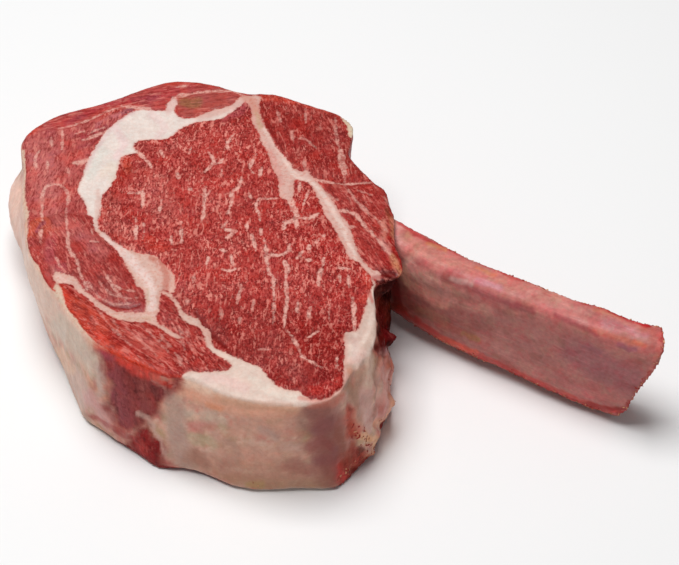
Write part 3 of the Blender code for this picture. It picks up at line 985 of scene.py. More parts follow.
TORN_LUMPS: tuple[Lump, ...] = (
    Lump((393, 405), 12, (1.0, 0.0, 0.0)),
    Lump((381, 424), 9, (-2.4, 0.0, 0.0)),
    Lump((371, 456), 9, (2.0, 0.0, 0.0)),
    Lump((356, 471), 8, (-2.2, 0.0, 0.0)),
    Lump((394, 336), 7, (0.7, 0.0, 0.0)),
)
RIB_CORNERS: tuple[Lump, ...] = (
    Lump((602, 307), 34, (0.0, 1.3, 0.0)),
    Lump((663, 329), 9, (0.3, 0.3, 0.0)),
    Lump((629, 412), 11, (1.3, 0.0, 0.0)),
)

RIB_TOUCHES: tuple[Touch, ...] = (
    # root, in the shade of the meat: painted lighter, by the low light given to these colours, to
    # lift that shade
    Touch(((398, 231), (401, 240), (406, 246)), 11, Tint(224, 160, 156), 0.8),
    Touch(((407, 234), (412, 238)), 4, Tint(232, 180, 140), 0.7),
    Touch(((408, 245), (420, 256), (434, 268)), 16, Tint(218, 136, 124, 1.0), 0.75),
    Touch(((414, 256), (426, 262), (440, 268)), 8, Tint(198, 128, 120, 0.85), 0.8),
    Touch(((410, 266), (422, 274), (434, 281)), 16, Tint(178, 113, 104, 0.36), 0.9),
    Touch(((402, 268), (406, 277), (409, 285)), 9, Tint(170, 94, 80, 0.25), 0.9),
    Touch(((436, 283), (450, 288), (460, 292)), 12, Tint(168, 108, 101, 0.56), 0.6),
    # narrow top
    Touch(((404, 236), (430, 252), (470, 268), (520, 284), (560, 297)),
          12, Tint(214, 138, 124), 0.6),
    Touch(((420, 262), (450, 272), (484, 278)), 9, Tint(206, 110, 108), 0.6),
    Touch(((432, 272), (452, 282), (472, 287)), 7, Tint(170, 90, 90, 0.9), 0.6),
    Touch(((452, 279), (462, 281), (472, 283)), 6, Tint(222, 170, 163), 0.75),
    Touch(((478, 281), (490, 284), (499, 288)), 7, Tint(206, 134, 144), 0.7),
    Touch(((530, 292), (560, 304), (590, 314)), 9, Tint(212, 146, 136), 0.6),
    Touch(((596, 311), (610, 314), (620, 317)), 6, Tint(218, 140, 114), 0.7),
    Touch(((604, 324), (625, 330), (645, 336)), 10, Tint(202, 138, 146), 0.65),
    Touch(((645, 328), (659, 333)), 10, Tint(210, 106, 100), 0.7),
    Touch(((626, 336), (640, 341), (656, 346)), 9, Tint(170, 98, 86), 0.7),
    Touch(((590, 316), (606, 322), (622, 329)), 9, Tint(182, 108, 104), 0.45),
    # broad side
    Touch(((476, 291), (490, 296), (512, 305), (532, 311)), 7, side_tint(128, 62, 66), 0.7),
    Touch(((556, 315), (584, 328), (597, 334)), 5, side_tint(130, 60, 64), 0.7),
    Touch(((594, 330), (616, 337), (641, 345)), 5, Tint(180, 100, 80, 0.8), 0.5),
    Touch(((634, 341), (645, 346)), 5, Tint(196, 108, 78, 0.85), 0.4),
    Touch(((618, 344), (634, 350)), 5, side_tint(124, 68, 84), 0.6),
    Touch(((430, 292), (450, 297), (474, 303)), 15, side_tint(164, 118, 110), 0.7),
    Touch(((418, 312), (436, 318), (448, 322)), 8, side_tint(116, 90, 70), 0.6),
    # next to the root, these six: dark red painted shadow of the meat's rim, and colours taken at a
    # low light, which paints them lighter to lift the shade there
    Touch(((404, 290), (410, 304), (420, 312)), 9, Tint(96, 44, 38, 0.36), 0.6),
    Touch(((394, 282), (396, 294), (398, 304)), 10, Tint(84, 16, 14, 0.36), 0.85),
    Touch(((393, 306), (404, 310)), 8, Tint(104, 34, 24, 0.36), 0.8),
    Touch(((414, 287), (428, 295), (444, 304)), 12, Tint(146, 96, 86, 0.33), 0.8),
    Touch(((422, 310), (432, 314), (444, 320)), 9, Tint(114, 70, 60, 0.38), 0.7),
    Touch(((446, 298), (466, 304), (486, 310)), 12, Tint(158, 104, 96, 0.52), 0.7),
    Touch(((440, 326), (460, 331), (478, 341)), 8, side_tint(148, 74, 64), 0.6),
    Touch(((463, 334), (478, 339)), 5, side_tint(140, 102, 66), 0.6),
    Touch(((488, 344), (506, 352)), 12, side_tint(160, 108, 100), 0.5),
    Touch(((500, 322), (530, 334)), 22, side_tint(142, 92, 86), 0.5),
    Touch(((575, 352), (600, 366), (630, 380)), 30, side_tint(130, 74, 78), 0.7),
    Touch(((562, 382), (590, 396)), 9, side_tint(164, 92, 90), 0.6),
    Touch(((584, 345), (600, 352)), 6, side_tint(122, 68, 76), 0.5),
    # raw lower edge and end
    Touch(((398, 311), (420, 323), (440, 337), (476, 354), (505, 367), (532, 380), (556, 391),
           (590, 405), (624, 413)), 6, side_tint(158, 50, 44), 0.85),
    Touch(((440, 338), (458, 346), (476, 353)), 6, side_tint(186, 84, 64), 0.7),
    Touch(((588, 404), (606, 408), (622, 409)), 4, side_tint(126, 20, 18), 0.8),
    Touch(((632, 402), (640, 391), (655, 362), (661, 338)), 4.5, side_tint(164, 88, 80), 0.7),
    Touch(((618, 414), (627, 413), (630, 405)), 5, side_tint(130, 34, 34), 0.7),
    # raw far edge
    Touch(((399, 222), (412, 232), (430, 241), (460, 254), (483, 263), (513, 277), (529, 281),
           (560, 291), (584, 301)), 4, Tint(196, 68, 66), 0.85),
    Touch(((584, 302), (599, 308), (624, 316.5), (650, 325)), 6, Tint(192, 24, 30), 1.0),
    Touch(((427, 243), (445, 250)), 4, Tint(218, 140, 98), 0.7),
    Touch(((476, 267), (495, 275)), 4, Tint(216, 136, 100), 0.7),
)

SIDE_TOUCHES: tuple[Touch, ...] = (
    # left
    Touch(((12, 190), (12, 225), (22, 262)), 26, Tint(228, 190, 174, 0.9), 0.9, Tissue.FAT),
    Touch(((26, 262), (44, 300), (74, 338)), 24, Tint(204, 176, 160, 0.68), 0.9, Tissue.FAT),
    Touch(((60, 326), (84, 354), (98, 366)), 20, side_tint(176, 158, 142), 0.8, Tissue.FAT),
    Touch(((70, 372), (84, 400)), 20, side_tint(176, 150, 138), 0.8, Tissue.FAT),
    Touch(((98, 366), (100, 392)), 9, side_tint(166, 138, 128), 0.7, Tissue.FAT),
    Touch(((90, 396), (106, 420)), 14, side_tint(176, 126, 122), 0.75, Tissue.FAT),
    Touch(((60, 352), (70, 370)), 10, side_tint(196, 160, 132), 0.6, Tissue.FAT),
    # bared lean
    Touch(((100, 346), (120, 358), (146, 374), (168, 382)),
          12, side_tint(186, 56, 44), 0.85, Tissue.LEAN),
    Touch(((100, 352), (112, 358)), 8, side_tint(120, 50, 64), 0.7, Tissue.LEAN),
    Touch(((112, 372), (118, 398), (124, 418)), 16, side_tint(126, 56, 62), 0.6, Tissue.LEAN),
    Touch(((140, 384), (146, 404), (142, 420)), 14, side_tint(122, 56, 52), 0.6, Tissue.LEAN),
    Touch(((152, 380), (163, 388), (166, 396)), 3, side_tint(160, 104, 94), 0.7),
    Touch(((164, 378), (176, 386)), 3, side_tint(162, 108, 98), 0.7),
    Touch(((120, 366), (132, 384), (138, 400)), 3, side_tint(92, 30, 32), 0.6, Tissue.LEAN),
    Touch(((150, 384), (156, 396), (156, 406)), 4, side_tint(94, 34, 32), 0.6, Tissue.LEAN),
    Touch(((136, 414), (148, 420), (158, 436), (163, 452)), 5, side_tint(176, 144, 132), 0.7),
    Touch(((92, 416), (112, 428), (132, 440), (144, 454)), 4, side_tint(140, 36, 34), 0.7),
    Touch(((118, 428), (136, 436), (146, 452)), 7, side_tint(144, 40, 34), 0.7, Tissue.LEAN),
    # front
    Touch(((166, 390), (174, 410), (178, 440), (186, 462)),
          20, side_tint(158, 128, 116), 0.85, Tissue.FAT),
    Touch(((188, 392), (202, 396)), 16, side_tint(182, 134, 120), 0.7, Tissue.FAT),
    Touch(((184, 388), (214, 401), (250, 409), (290, 412), (326, 408)),
          15, side_tint(196, 142, 118), 0.9, Tissue.FAT),
    Touch(((184, 380), (206, 390), (238, 398), (264, 403), (300, 405), (330, 399)),
          9, Tint(226, 188, 164, 0.85), 0.9, Tissue.FAT),
    Touch(((208, 404), (220, 407)), 6, side_tint(192, 122, 88), 0.7, Tissue.FAT),
    Touch(((240, 428), (290, 428)), 22, side_tint(178, 130, 112), 0.7, Tissue.FAT),
    Touch(((220, 452), (260, 456), (300, 452)), 22, side_tint(174, 128, 110), 0.7, Tissue.FAT),
    Touch(((232, 478), (290, 484), (330, 482)), 12, side_tint(152, 114, 92), 0.8, Tissue.FAT),
    Touch(((192, 425), (204, 429), (214, 424)), 10, side_tint(176, 104, 98), 0.5, Tissue.FAT),
    Touch(((190, 436), (202, 440), (212, 446)), 9, side_tint(164, 142, 116), 0.7, Tissue.FAT),
    Touch(((184, 414), (200, 414), (216, 412)), 5, side_tint(172, 150, 134), 0.6, Tissue.FAT),
    Touch(((226, 416), (232, 424)), 5, side_tint(190, 116, 100), 0.5, Tissue.FAT),
    Touch(((262, 430), (274, 438)), 9, side_tint(152, 122, 112), 0.6, Tissue.FAT),
    Touch(((292, 432), (302, 434)), 7, side_tint(166, 108, 92), 0.6, Tissue.FAT),
    Touch(((282, 446), (300, 448)), 9, side_tint(170, 134, 122), 0.6, Tissue.FAT),
    Touch(((316, 414), (328, 440), (332, 466)), 38, side_tint(132, 84, 72), 0.8, Tissue.FAT),
    Touch(((308, 410), (318, 420), (330, 426)), 14, side_tint(134, 92, 80), 0.6, Tissue.FAT),
    Touch(((318, 430), (332, 422)), 14, side_tint(122, 74, 78), 0.6, Tissue.FAT),
    Touch(((312, 446), (324, 441), (332, 447)), 12, side_tint(130, 60, 60), 0.6, Tissue.FAT),
    Touch(((318, 460), (332, 462), (338, 450)), 12, side_tint(124, 76, 76), 0.75, Tissue.FAT),
    Touch(((340, 430), (344, 452), (346, 464)), 10, side_tint(136, 84, 66), 0.8, Tissue.FAT),
    Touch(((336, 408), (342, 424)), 9, side_tint(148, 98, 88), 0.7, Tissue.FAT),
    Touch(((206, 476), (222, 482)), 8, side_tint(160, 104, 88), 0.6, Tissue.FAT),
    Touch(((248, 484), (262, 485)), 8, side_tint(152, 122, 74), 0.6, Tissue.FAT),
    Touch(((322, 412), (330, 436), (332, 468)), 34, side_tint(112, 50, 44), 0.6, Tissue.FAT),
    Touch(((312, 404), (328, 402), (342, 397)), 10, side_tint(166, 92, 76), 0.75, Tissue.FAT),
    Touch(((218, 398), (246, 403), (270, 407), (296, 408)),
          9, Tint(198, 146, 118, 0.8), 0.75, Tissue.FAT),
    Touch(((190, 456), (212, 466), (250, 472), (300, 470)),
          18, side_tint(152, 106, 86), 0.6, Tissue.FAT),
    Touch(((196, 454), (206, 464)), 12, side_tint(138, 92, 76), 0.6, Tissue.FAT),
    Touch(((292, 466), (310, 470)), 16, side_tint(132, 80, 70), 0.6, Tissue.FAT),
    Touch(((206, 418), (222, 420)), 9, side_tint(178, 156, 138), 0.6, Tissue.FAT),
    # right corner and flap
    Touch(((392, 238), (399, 250), (404, 266)), 8, side_tint(136, 24, 22), 0.85),
    Touch(((393, 253), (399, 263), (405, 276)), 4, side_tint(204, 134, 94), 0.7),
    Touch(((346, 376), (350, 388), (356, 396)), 11, side_tint(142, 106, 86), 0.85, Tissue.FAT),
    Touch(((362, 366), (370, 352), (376, 330)), 9, side_tint(156, 124, 110), 0.8, Tissue.FAT),
    Touch(((371, 344), (370, 366), (368, 386)), 8, side_tint(186, 160, 144), 0.8, Tissue.FAT),
    Touch(((360, 374), (360, 396), (361, 420)), 6, side_tint(152, 116, 100), 0.8, Tissue.FAT),
    Touch(((367, 394), (368, 410), (370, 430)), 11, side_tint(180, 142, 132), 0.85, Tissue.FAT),
    Touch(((376, 366), (378, 396), (374, 418)), 3, side_tint(150, 112, 100), 0.7, Tissue.FAT),
    Touch(((384, 366), (386, 392), (382, 414)), 11, side_tint(184, 130, 120), 0.85, Tissue.FAT),
    Touch(((388, 360), (394, 372), (393, 392)), 6, side_tint(160, 92, 72), 0.85, Tissue.FAT),
    Touch(((393, 404), (389, 414), (382, 426)), 6, side_tint(200, 148, 120), 0.8, Tissue.FAT),
    Touch(((358, 436), (366, 434), (372, 440)), 7, side_tint(206, 150, 112), 0.85, Tissue.FAT),
    Touch(((376, 440), (375, 452), (368, 460)), 5, side_tint(206, 156, 122), 0.8, Tissue.FAT),
    Touch(((378, 352), (388, 358)), 7, side_tint(176, 110, 98), 0.8, Tissue.FAT),
    Touch(((384, 351), (392, 355)), 8, side_tint(172, 128, 122), 0.85),
    Touch(((375, 336), (376, 350)), 4, side_tint(152, 94, 82), 0.8),
    # these seven: painted shade, near-black and dark red, in the hollow under the rim and below the
    # root of the bone, over dark red lean
    Touch(((381, 284), (388, 296), (392, 306)), 14, side_tint(58, 16, 14), 0.9),
    Touch(((381, 304), (384, 312), (388, 318)), 12, side_tint(104, 34, 24), 0.8),
    Touch(((386, 296), (394, 293), (400, 288)), 8, side_tint(40, 6, 5), 0.9),
    Touch(((399, 284), (404, 289)), 5, side_tint(90, 10, 12), 0.7),
    Touch(((392, 306), (402, 310)), 6, side_tint(110, 44, 22), 0.7),
    Touch(((382, 312), (386, 330), (382, 348)), 9, side_tint(92, 14, 12), 0.8),
    Touch(((388, 330), (394, 338)), 9, side_tint(92, 16, 20), 0.8),
    Touch(((362, 448), (360, 456)), 5, side_tint(80, 34, 22), 0.8),
)

# ---------------------------------------------------------------- meshes as arrays


def points_of(mesh: bpy.types.Mesh) -> Array:
    """The mesh's vertices in millimetres, one row each."""
    points = np.empty(len(mesh.vertices) * 3, np.float32)
    mesh.vertices.foreach_get("co", points)
    return points.reshape(-1, 3).astype(float) / MM


def put_points(mesh: bpy.types.Mesh, points: Array) -> None:
    """Moves the mesh's vertices to these places, given in millimetres."""
    mesh.vertices.foreach_set("co", (points * MM).astype(np.float32).ravel())
    mesh.update()


def normals_of(mesh: bpy.types.Mesh) -> Array:
    """The mesh's vertex normals, one row each."""
    normals = np.empty(len(mesh.vertices) * 3, np.float32)
    mesh.vertex_normals.foreach_get("vector", normals)
    return normals.reshape(-1, 3).astype(float)


def edges_of(mesh: bpy.types.Mesh) -> Array:
    """The two vertices of each edge, one row each."""
    edges = np.empty(len(mesh.edges) * 2, np.int32)
    mesh.edges.foreach_get("vertices", edges)
    return edges.reshape(-1, 2)


def relax(points: Array, edges: Array, rounds: int) -> Array:
    """Takes facets out of a surface and keeps its volume.

    Args:
        points: The vertices, one row each.
        edges: The edges between them.
        rounds: How many pairs of a smoothing and a swelling step.

    Returns:
        The new places of the vertices.
    """
    first, second = edges.T
    count = np.bincount(edges.ravel(), minlength=len(points))[:, None]
    for _, step in itertools.product(range(rounds), (0.55, -0.57)):
        middle = np.stack(
            [
                np.bincount(first, points[second, axis], len(points))
                + np.bincount(second, points[first, axis], len(points))
                for axis in range(3)
            ],
            axis=1,
        )
        points = points + step * (middle / count - points)
    return points


def paint(mesh: bpy.types.Mesh, name: str, values: Array) -> None:
    """Keeps one value, vector or colour for each vertex under a name materials can read."""
    if values.ndim == 1:
        mesh.attributes.new(name, "FLOAT", "POINT").data.foreach_set(
            "value", values.astype(np.float32)
        )
        return
    opaque = np.hstack([values, np.ones((len(values), 1))]).astype(np.float32)
    mesh.attributes.new(name, "FLOAT_COLOR", "POINT").data.foreach_set("color", opaque.ravel())


def paint_vector(mesh: bpy.types.Mesh, name: str, values: Array) -> None:
    """Keeps one vector for each vertex, for patterns that follow the surface."""
    mesh.attributes.new(name, "FLOAT_VECTOR", "POINT").data.foreach_set(
        "vector", values.astype(np.float32).ravel()
    )


def kept_inside(points: Array, node: str) -> Array:
    """The points, with those past a solid's box brought back to it."""
    low, high = (np.array(corner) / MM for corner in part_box(node))
    return np.clip(points, low, high)


def even_copy(source: bpy.types.Object, name: str, spacing: float) -> bpy.types.Object:
    """An even mesh of the same form as a solid.

    Args:
        source: The solid's object, which stays as it is.
        name: The new object's name.
        spacing: The distance between its vertices, in millimetres.

    Returns:
        The new object, in the scene and at the origin.
    """
    shell = bmesh.new()
    shell.from_mesh(source.data)
    bmesh.ops.remove_doubles(shell, verts=shell.verts, dist=1e-6)
    rough = bpy.data.meshes.new(f"{name}_rough")
    shell.to_mesh(rough)
    shell.free()
    piece = bpy.data.objects.new(name, rough)
    bpy.context.scene.collection.objects.link(piece)
    modifier = piece.modifiers.new("even", "REMESH")
    modifier.mode = "VOXEL"
    modifier.voxel_size = spacing * MM
    modifier.use_smooth_shade = True
    fine = plain_mesh_of(piece)
    piece.modifiers.clear()
    piece.data = fine
    fine.name = name
    bpy.data.meshes.remove(rough)
    fine.materials.clear()
    return piece


def plain_mesh_of(piece: bpy.types.Object) -> bpy.types.Mesh:
    """The piece's mesh with its modifiers applied, as new data."""
    bpy.context.view_layer.update()
    graph = bpy.context.evaluated_depsgraph_get()
    return bpy.data.meshes.new_from_object(piece.evaluated_get(graph))


# ---------------------------------------------------------------- shader nodes


class Graph:
    """Adds nodes to a tree and joins their sockets."""

    def __init__(self, tree: bpy.types.NodeTree) -> None:
        """Takes the tree that the nodes go into."""
        self.tree = tree

    def add(
        self, kind: str, inputs: Mapping[Any, Any] | None = None, **settings: Any
    ) -> bpy.types.Node:
        """Adds a node.

        Args:
            kind: Its type name.
            inputs: A value or another node's socket for each of its inputs, by name or number.
            **settings: Its own properties, set before the inputs.

        Returns:
            The node.
        """
        node = self.tree.nodes.new(kind)
        for name, value in settings.items():
            setattr(node, name, value)
        for key, value in (inputs or {}).items():
            self.feed(node.inputs[key], value)
        return node

    def feed(self, socket: bpy.types.NodeSocket, value: Any) -> None:
        """Links a socket into this one, or sets this one's value."""
        if isinstance(value, bpy.types.NodeSocket):
            self.tree.links.new(value, socket)
        else:
            socket.default_value = value

    def math(self, operation: str, *values: Any) -> bpy.types.NodeSocket:
        """The result of one Math node."""
        node = self.add("ShaderNodeMath", dict(enumerate(values)), operation=operation)
        return node.outputs[0]

    def times(self, first: Any, second: Any) -> bpy.types.NodeSocket:
        """The product of two values."""
        return self.math("MULTIPLY", first, second)

    def ridge(self, vector: Any, scale: float, detail: float) -> bpy.types.NodeSocket:
        """Noise folded at its middle, so that it is 0 along thin winding lines."""
        return self.math("ABSOLUTE", self.math("SUBTRACT", self.noise(vector, scale, detail), 0.5))

    def mix(self, share: Any, first: Any, second: Any, how: str = "MIX") -> bpy.types.NodeSocket:
        """Two colours mixed by a share."""
        node = self.add(
            "ShaderNodeMix", {0: share, 6: first, 7: second}, data_type="RGBA", blend_type=how
        )
        return node.outputs[2]

    def dyed(self, colour: Any, dye: Any, share: Any = 1.0) -> bpy.types.NodeSocket:
        """A colour multiplied by another, where the share is 1."""
        made = self.mix(1.0, colour, dye, "MULTIPLY")
        return made if share == 1.0 else self.mix(share, colour, made)

    def rise(self, value: Any, low: Any, high: Any, to: Point = (0.0, 1.0)) -> Any:
        """A smooth step of a value between two limits."""
        node = self.add(
            "ShaderNodeMapRange",
            {"Value": value, 1: low, 2: high, 3: to[0], 4: to[1]},
            interpolation_type="SMOOTHSTEP",
        )
        return node.outputs[0]

    def noise(self, vector: Any, scale: Any, detail: float = 2.0, rough: float = 0.5) -> Any:
        """The value of a noise texture."""
        node = self.add(
            "ShaderNodeTexNoise",
            {"Vector": vector, "Scale": scale, "Detail": detail, "Roughness": rough},
        )
        return node.outputs[0]

    def attribute(self, name: str, output: str = "Fac") -> bpy.types.NodeSocket:
        """One of the piece's painted values."""
        node = self.add("ShaderNodeAttribute", attribute_name=name, attribute_type="GEOMETRY")
        return node.outputs[output]

    def millimetres(self) -> bpy.types.NodeSocket:
        """The place on the piece, in millimetres."""
        place = self.add("ShaderNodeTexCoord").outputs["Object"]
        return self.scaled(place, 1.0 / MM)

    def scaled(self, vector: Any, factor: Any) -> bpy.types.NodeSocket:
        """A vector times a number."""
        node = self.add("ShaderNodeVectorMath", {0: vector, "Scale": factor}, operation="SCALE")
        return node.outputs[0]

    def effect(self, group: bpy.types.NodeTree, made: str, **inputs: Any) -> bpy.types.NodeSocket:
        """Places a shared effect.

        Args:
            group: Its node group.
            made: Which of its outputs to take.
            **inputs: A value or another node's socket for each of its inputs.

        Returns:
            That output.
        """
        node = self.add("ShaderNodeGroup", node_tree=group)
        for name, value in inputs.items():
            self.feed(node.inputs[name.title()], value)
        return node.outputs[made]


class SocketKind(Enum):
    """The kinds of socket that the shared effects have."""

    NUMBER = "NodeSocketFloat"
    VECTOR = "NodeSocketVector"
    COLOUR = "NodeSocketColor"


def numbers(*names: str) -> dict[str, SocketKind]:
    """Sockets that hold plain numbers."""
    return dict.fromkeys(names, SocketKind.NUMBER)


def new_effect(
    name: str, inputs: Mapping[str, SocketKind], outputs: Mapping[str, SocketKind]
) -> tuple[Graph, bpy.types.NodeOutputs, bpy.types.NodeInputs]:
    """Starts a shader node group.

    Args:
        name: The group's name.
        inputs: The kind of each input.
        outputs: The kind of each output.

    Returns:
        What adds nodes to it, the sockets it is given, and those it has to feed.
    """
    tree = bpy.data.node_groups.new(name, "ShaderNodeTree")
    for side, sockets in (("INPUT", inputs), ("OUTPUT", outputs)):
        for label, kind in sockets.items():
            tree.interface.new_socket(label, in_out=side, socket_type=kind.value)
    graph = Graph(tree)
    return graph, graph.add("NodeGroupInput").outputs, graph.add("NodeGroupOutput").inputs


class SharedEffects:
    """The effects that more than one finish uses, each built once as a node group."""

    def __init__(self) -> None:
        """Builds the groups."""
        self.torn_edge = self._torn_edge()
        self.flecks = self._flecks()
        self.mottle = self._mottle()
        self.pitting = self._pitting()
        self.moist = self._moist()

    @staticmethod
    def _torn_edge() -> bpy.types.NodeTree:
        """A mask from a signed distance, its edge wandering as fat does where it meets lean."""
        graph, given, made = new_effect(
            "torn_edge",
            {"Place": SocketKind.VECTOR} | numbers("Depth", "Wander", "Size", "Softness"),
            numbers("Mask"),
        )
        waver = graph.noise(given["Place"], graph.math("DIVIDE", 1.0, given["Size"]), 3.0, 0.6)
        swing = graph.times(graph.math("SUBTRACT", waver, 0.5), given["Wander"])
        moved = graph.math("MULTIPLY_ADD", swing, 4.0, given["Depth"])
        soft = given["Softness"]
        graph.feed(made["Mask"], graph.rise(moved, graph.times(soft, -1.0), soft))
        return graph.tree

    @staticmethod
    def _flecks() -> bpy.types.NodeTree:
        """Long specks that lie along the fibres."""
        graph, given, made = new_effect(
            "flecks",
            {"Fibre": SocketKind.VECTOR} | numbers("Length", "Width", "Level", "Softness"),
            numbers("Mask", "Value"),
        )
        along, across = (graph.math("DIVIDE", 1.0, given[name]) for name in ("Length", "Width"))
        stretch = graph.add("ShaderNodeCombineXYZ", {0: along, 1: across, 2: across})
        vector = graph.add(
            "ShaderNodeVectorMath", {0: given["Fibre"], 1: stretch.outputs[0]}, operation="MULTIPLY"
        )
        value = graph.noise(vector.outputs[0], 1.0, 3.0, 0.62)
        full = graph.math("ADD", given["Level"], given["Softness"])
        graph.feed(made["Mask"], graph.rise(value, given["Level"], full))
        graph.feed(made["Value"], value)
        return graph.tree

    @staticmethod
    def _mottle() -> bpy.types.NodeTree:
        """Cloudy light and dark on a colour."""
        colour = {"Colour": SocketKind.COLOUR}
        graph, given, made = new_effect(
            "mottle", {"Place": SocketKind.VECTOR} | colour | numbers("Size", "Amount"), colour
        )
        cloud = graph.noise(given["Place"], graph.math("DIVIDE", 1.0, given["Size"]), 3.0, 0.55)
        swing = graph.times(graph.math("SUBTRACT", cloud, 0.5), given["Amount"])
        gain = graph.math("MULTIPLY_ADD", swing, 2.0, 1.0)
        grey = graph.add("ShaderNodeCombineColor", {0: gain, 1: gain, 2: gain})
        graph.feed(made["Colour"], graph.dyed(given["Colour"], grey.outputs[0]))
        return graph.tree

    @staticmethod
    def _pitting() -> bpy.types.NodeTree:
        """The fine unevenness of raw meat, as a height from 0 to 1."""
        graph, given, made = new_effect(
            "pitting", {"Place": SocketKind.VECTOR} | numbers("Size"), numbers("Height")
        )
        scale = graph.math("DIVIDE", 1.0, given["Size"])
        grain = graph.noise(given["Place"], scale, 3.0, 0.6)
        cells = graph.add("ShaderNodeTexVoronoi", {"Vector": given["Place"], "Scale": scale})
        height = graph.math("MULTIPLY_ADD", cells.outputs["Distance"], -0.35, grain)
        graph.feed(made["Height"], height)
        return graph.tree

    @staticmethod
    def _moist() -> bpy.types.NodeTree:
        """Roughness that changes from wet to dull over the surface."""
        graph, given, made = new_effect(
            "moist",
            {"Place": SocketKind.VECTOR} | numbers("Size", "Wet", "Dull"),
            numbers("Roughness"),
        )
        cloud = graph.noise(given["Place"], graph.math("DIVIDE", 1.0, given["Size"]))
        span = graph.math("SUBTRACT", given["Dull"], given["Wet"])
        rough = graph.math("MULTIPLY_ADD", graph.rise(cloud, 0.35, 0.65), span, given["Wet"])
        graph.feed(made["Roughness"], rough)
        return graph.tree


# ---------------------------------------------------------------- finishes


def new_material(name: str) -> tuple[bpy.types.Material, Graph, bpy.types.Node]:
    """A material with its Principled shader.

    Args:
        name: The material's name.

    Returns:
        The material, what adds nodes to it, and the shader.
    """
    material = bpy.data.materials.new(name)
    material.use_nodes = True
    return material, Graph(material.node_tree), material.node_tree.nodes["Principled BSDF"]


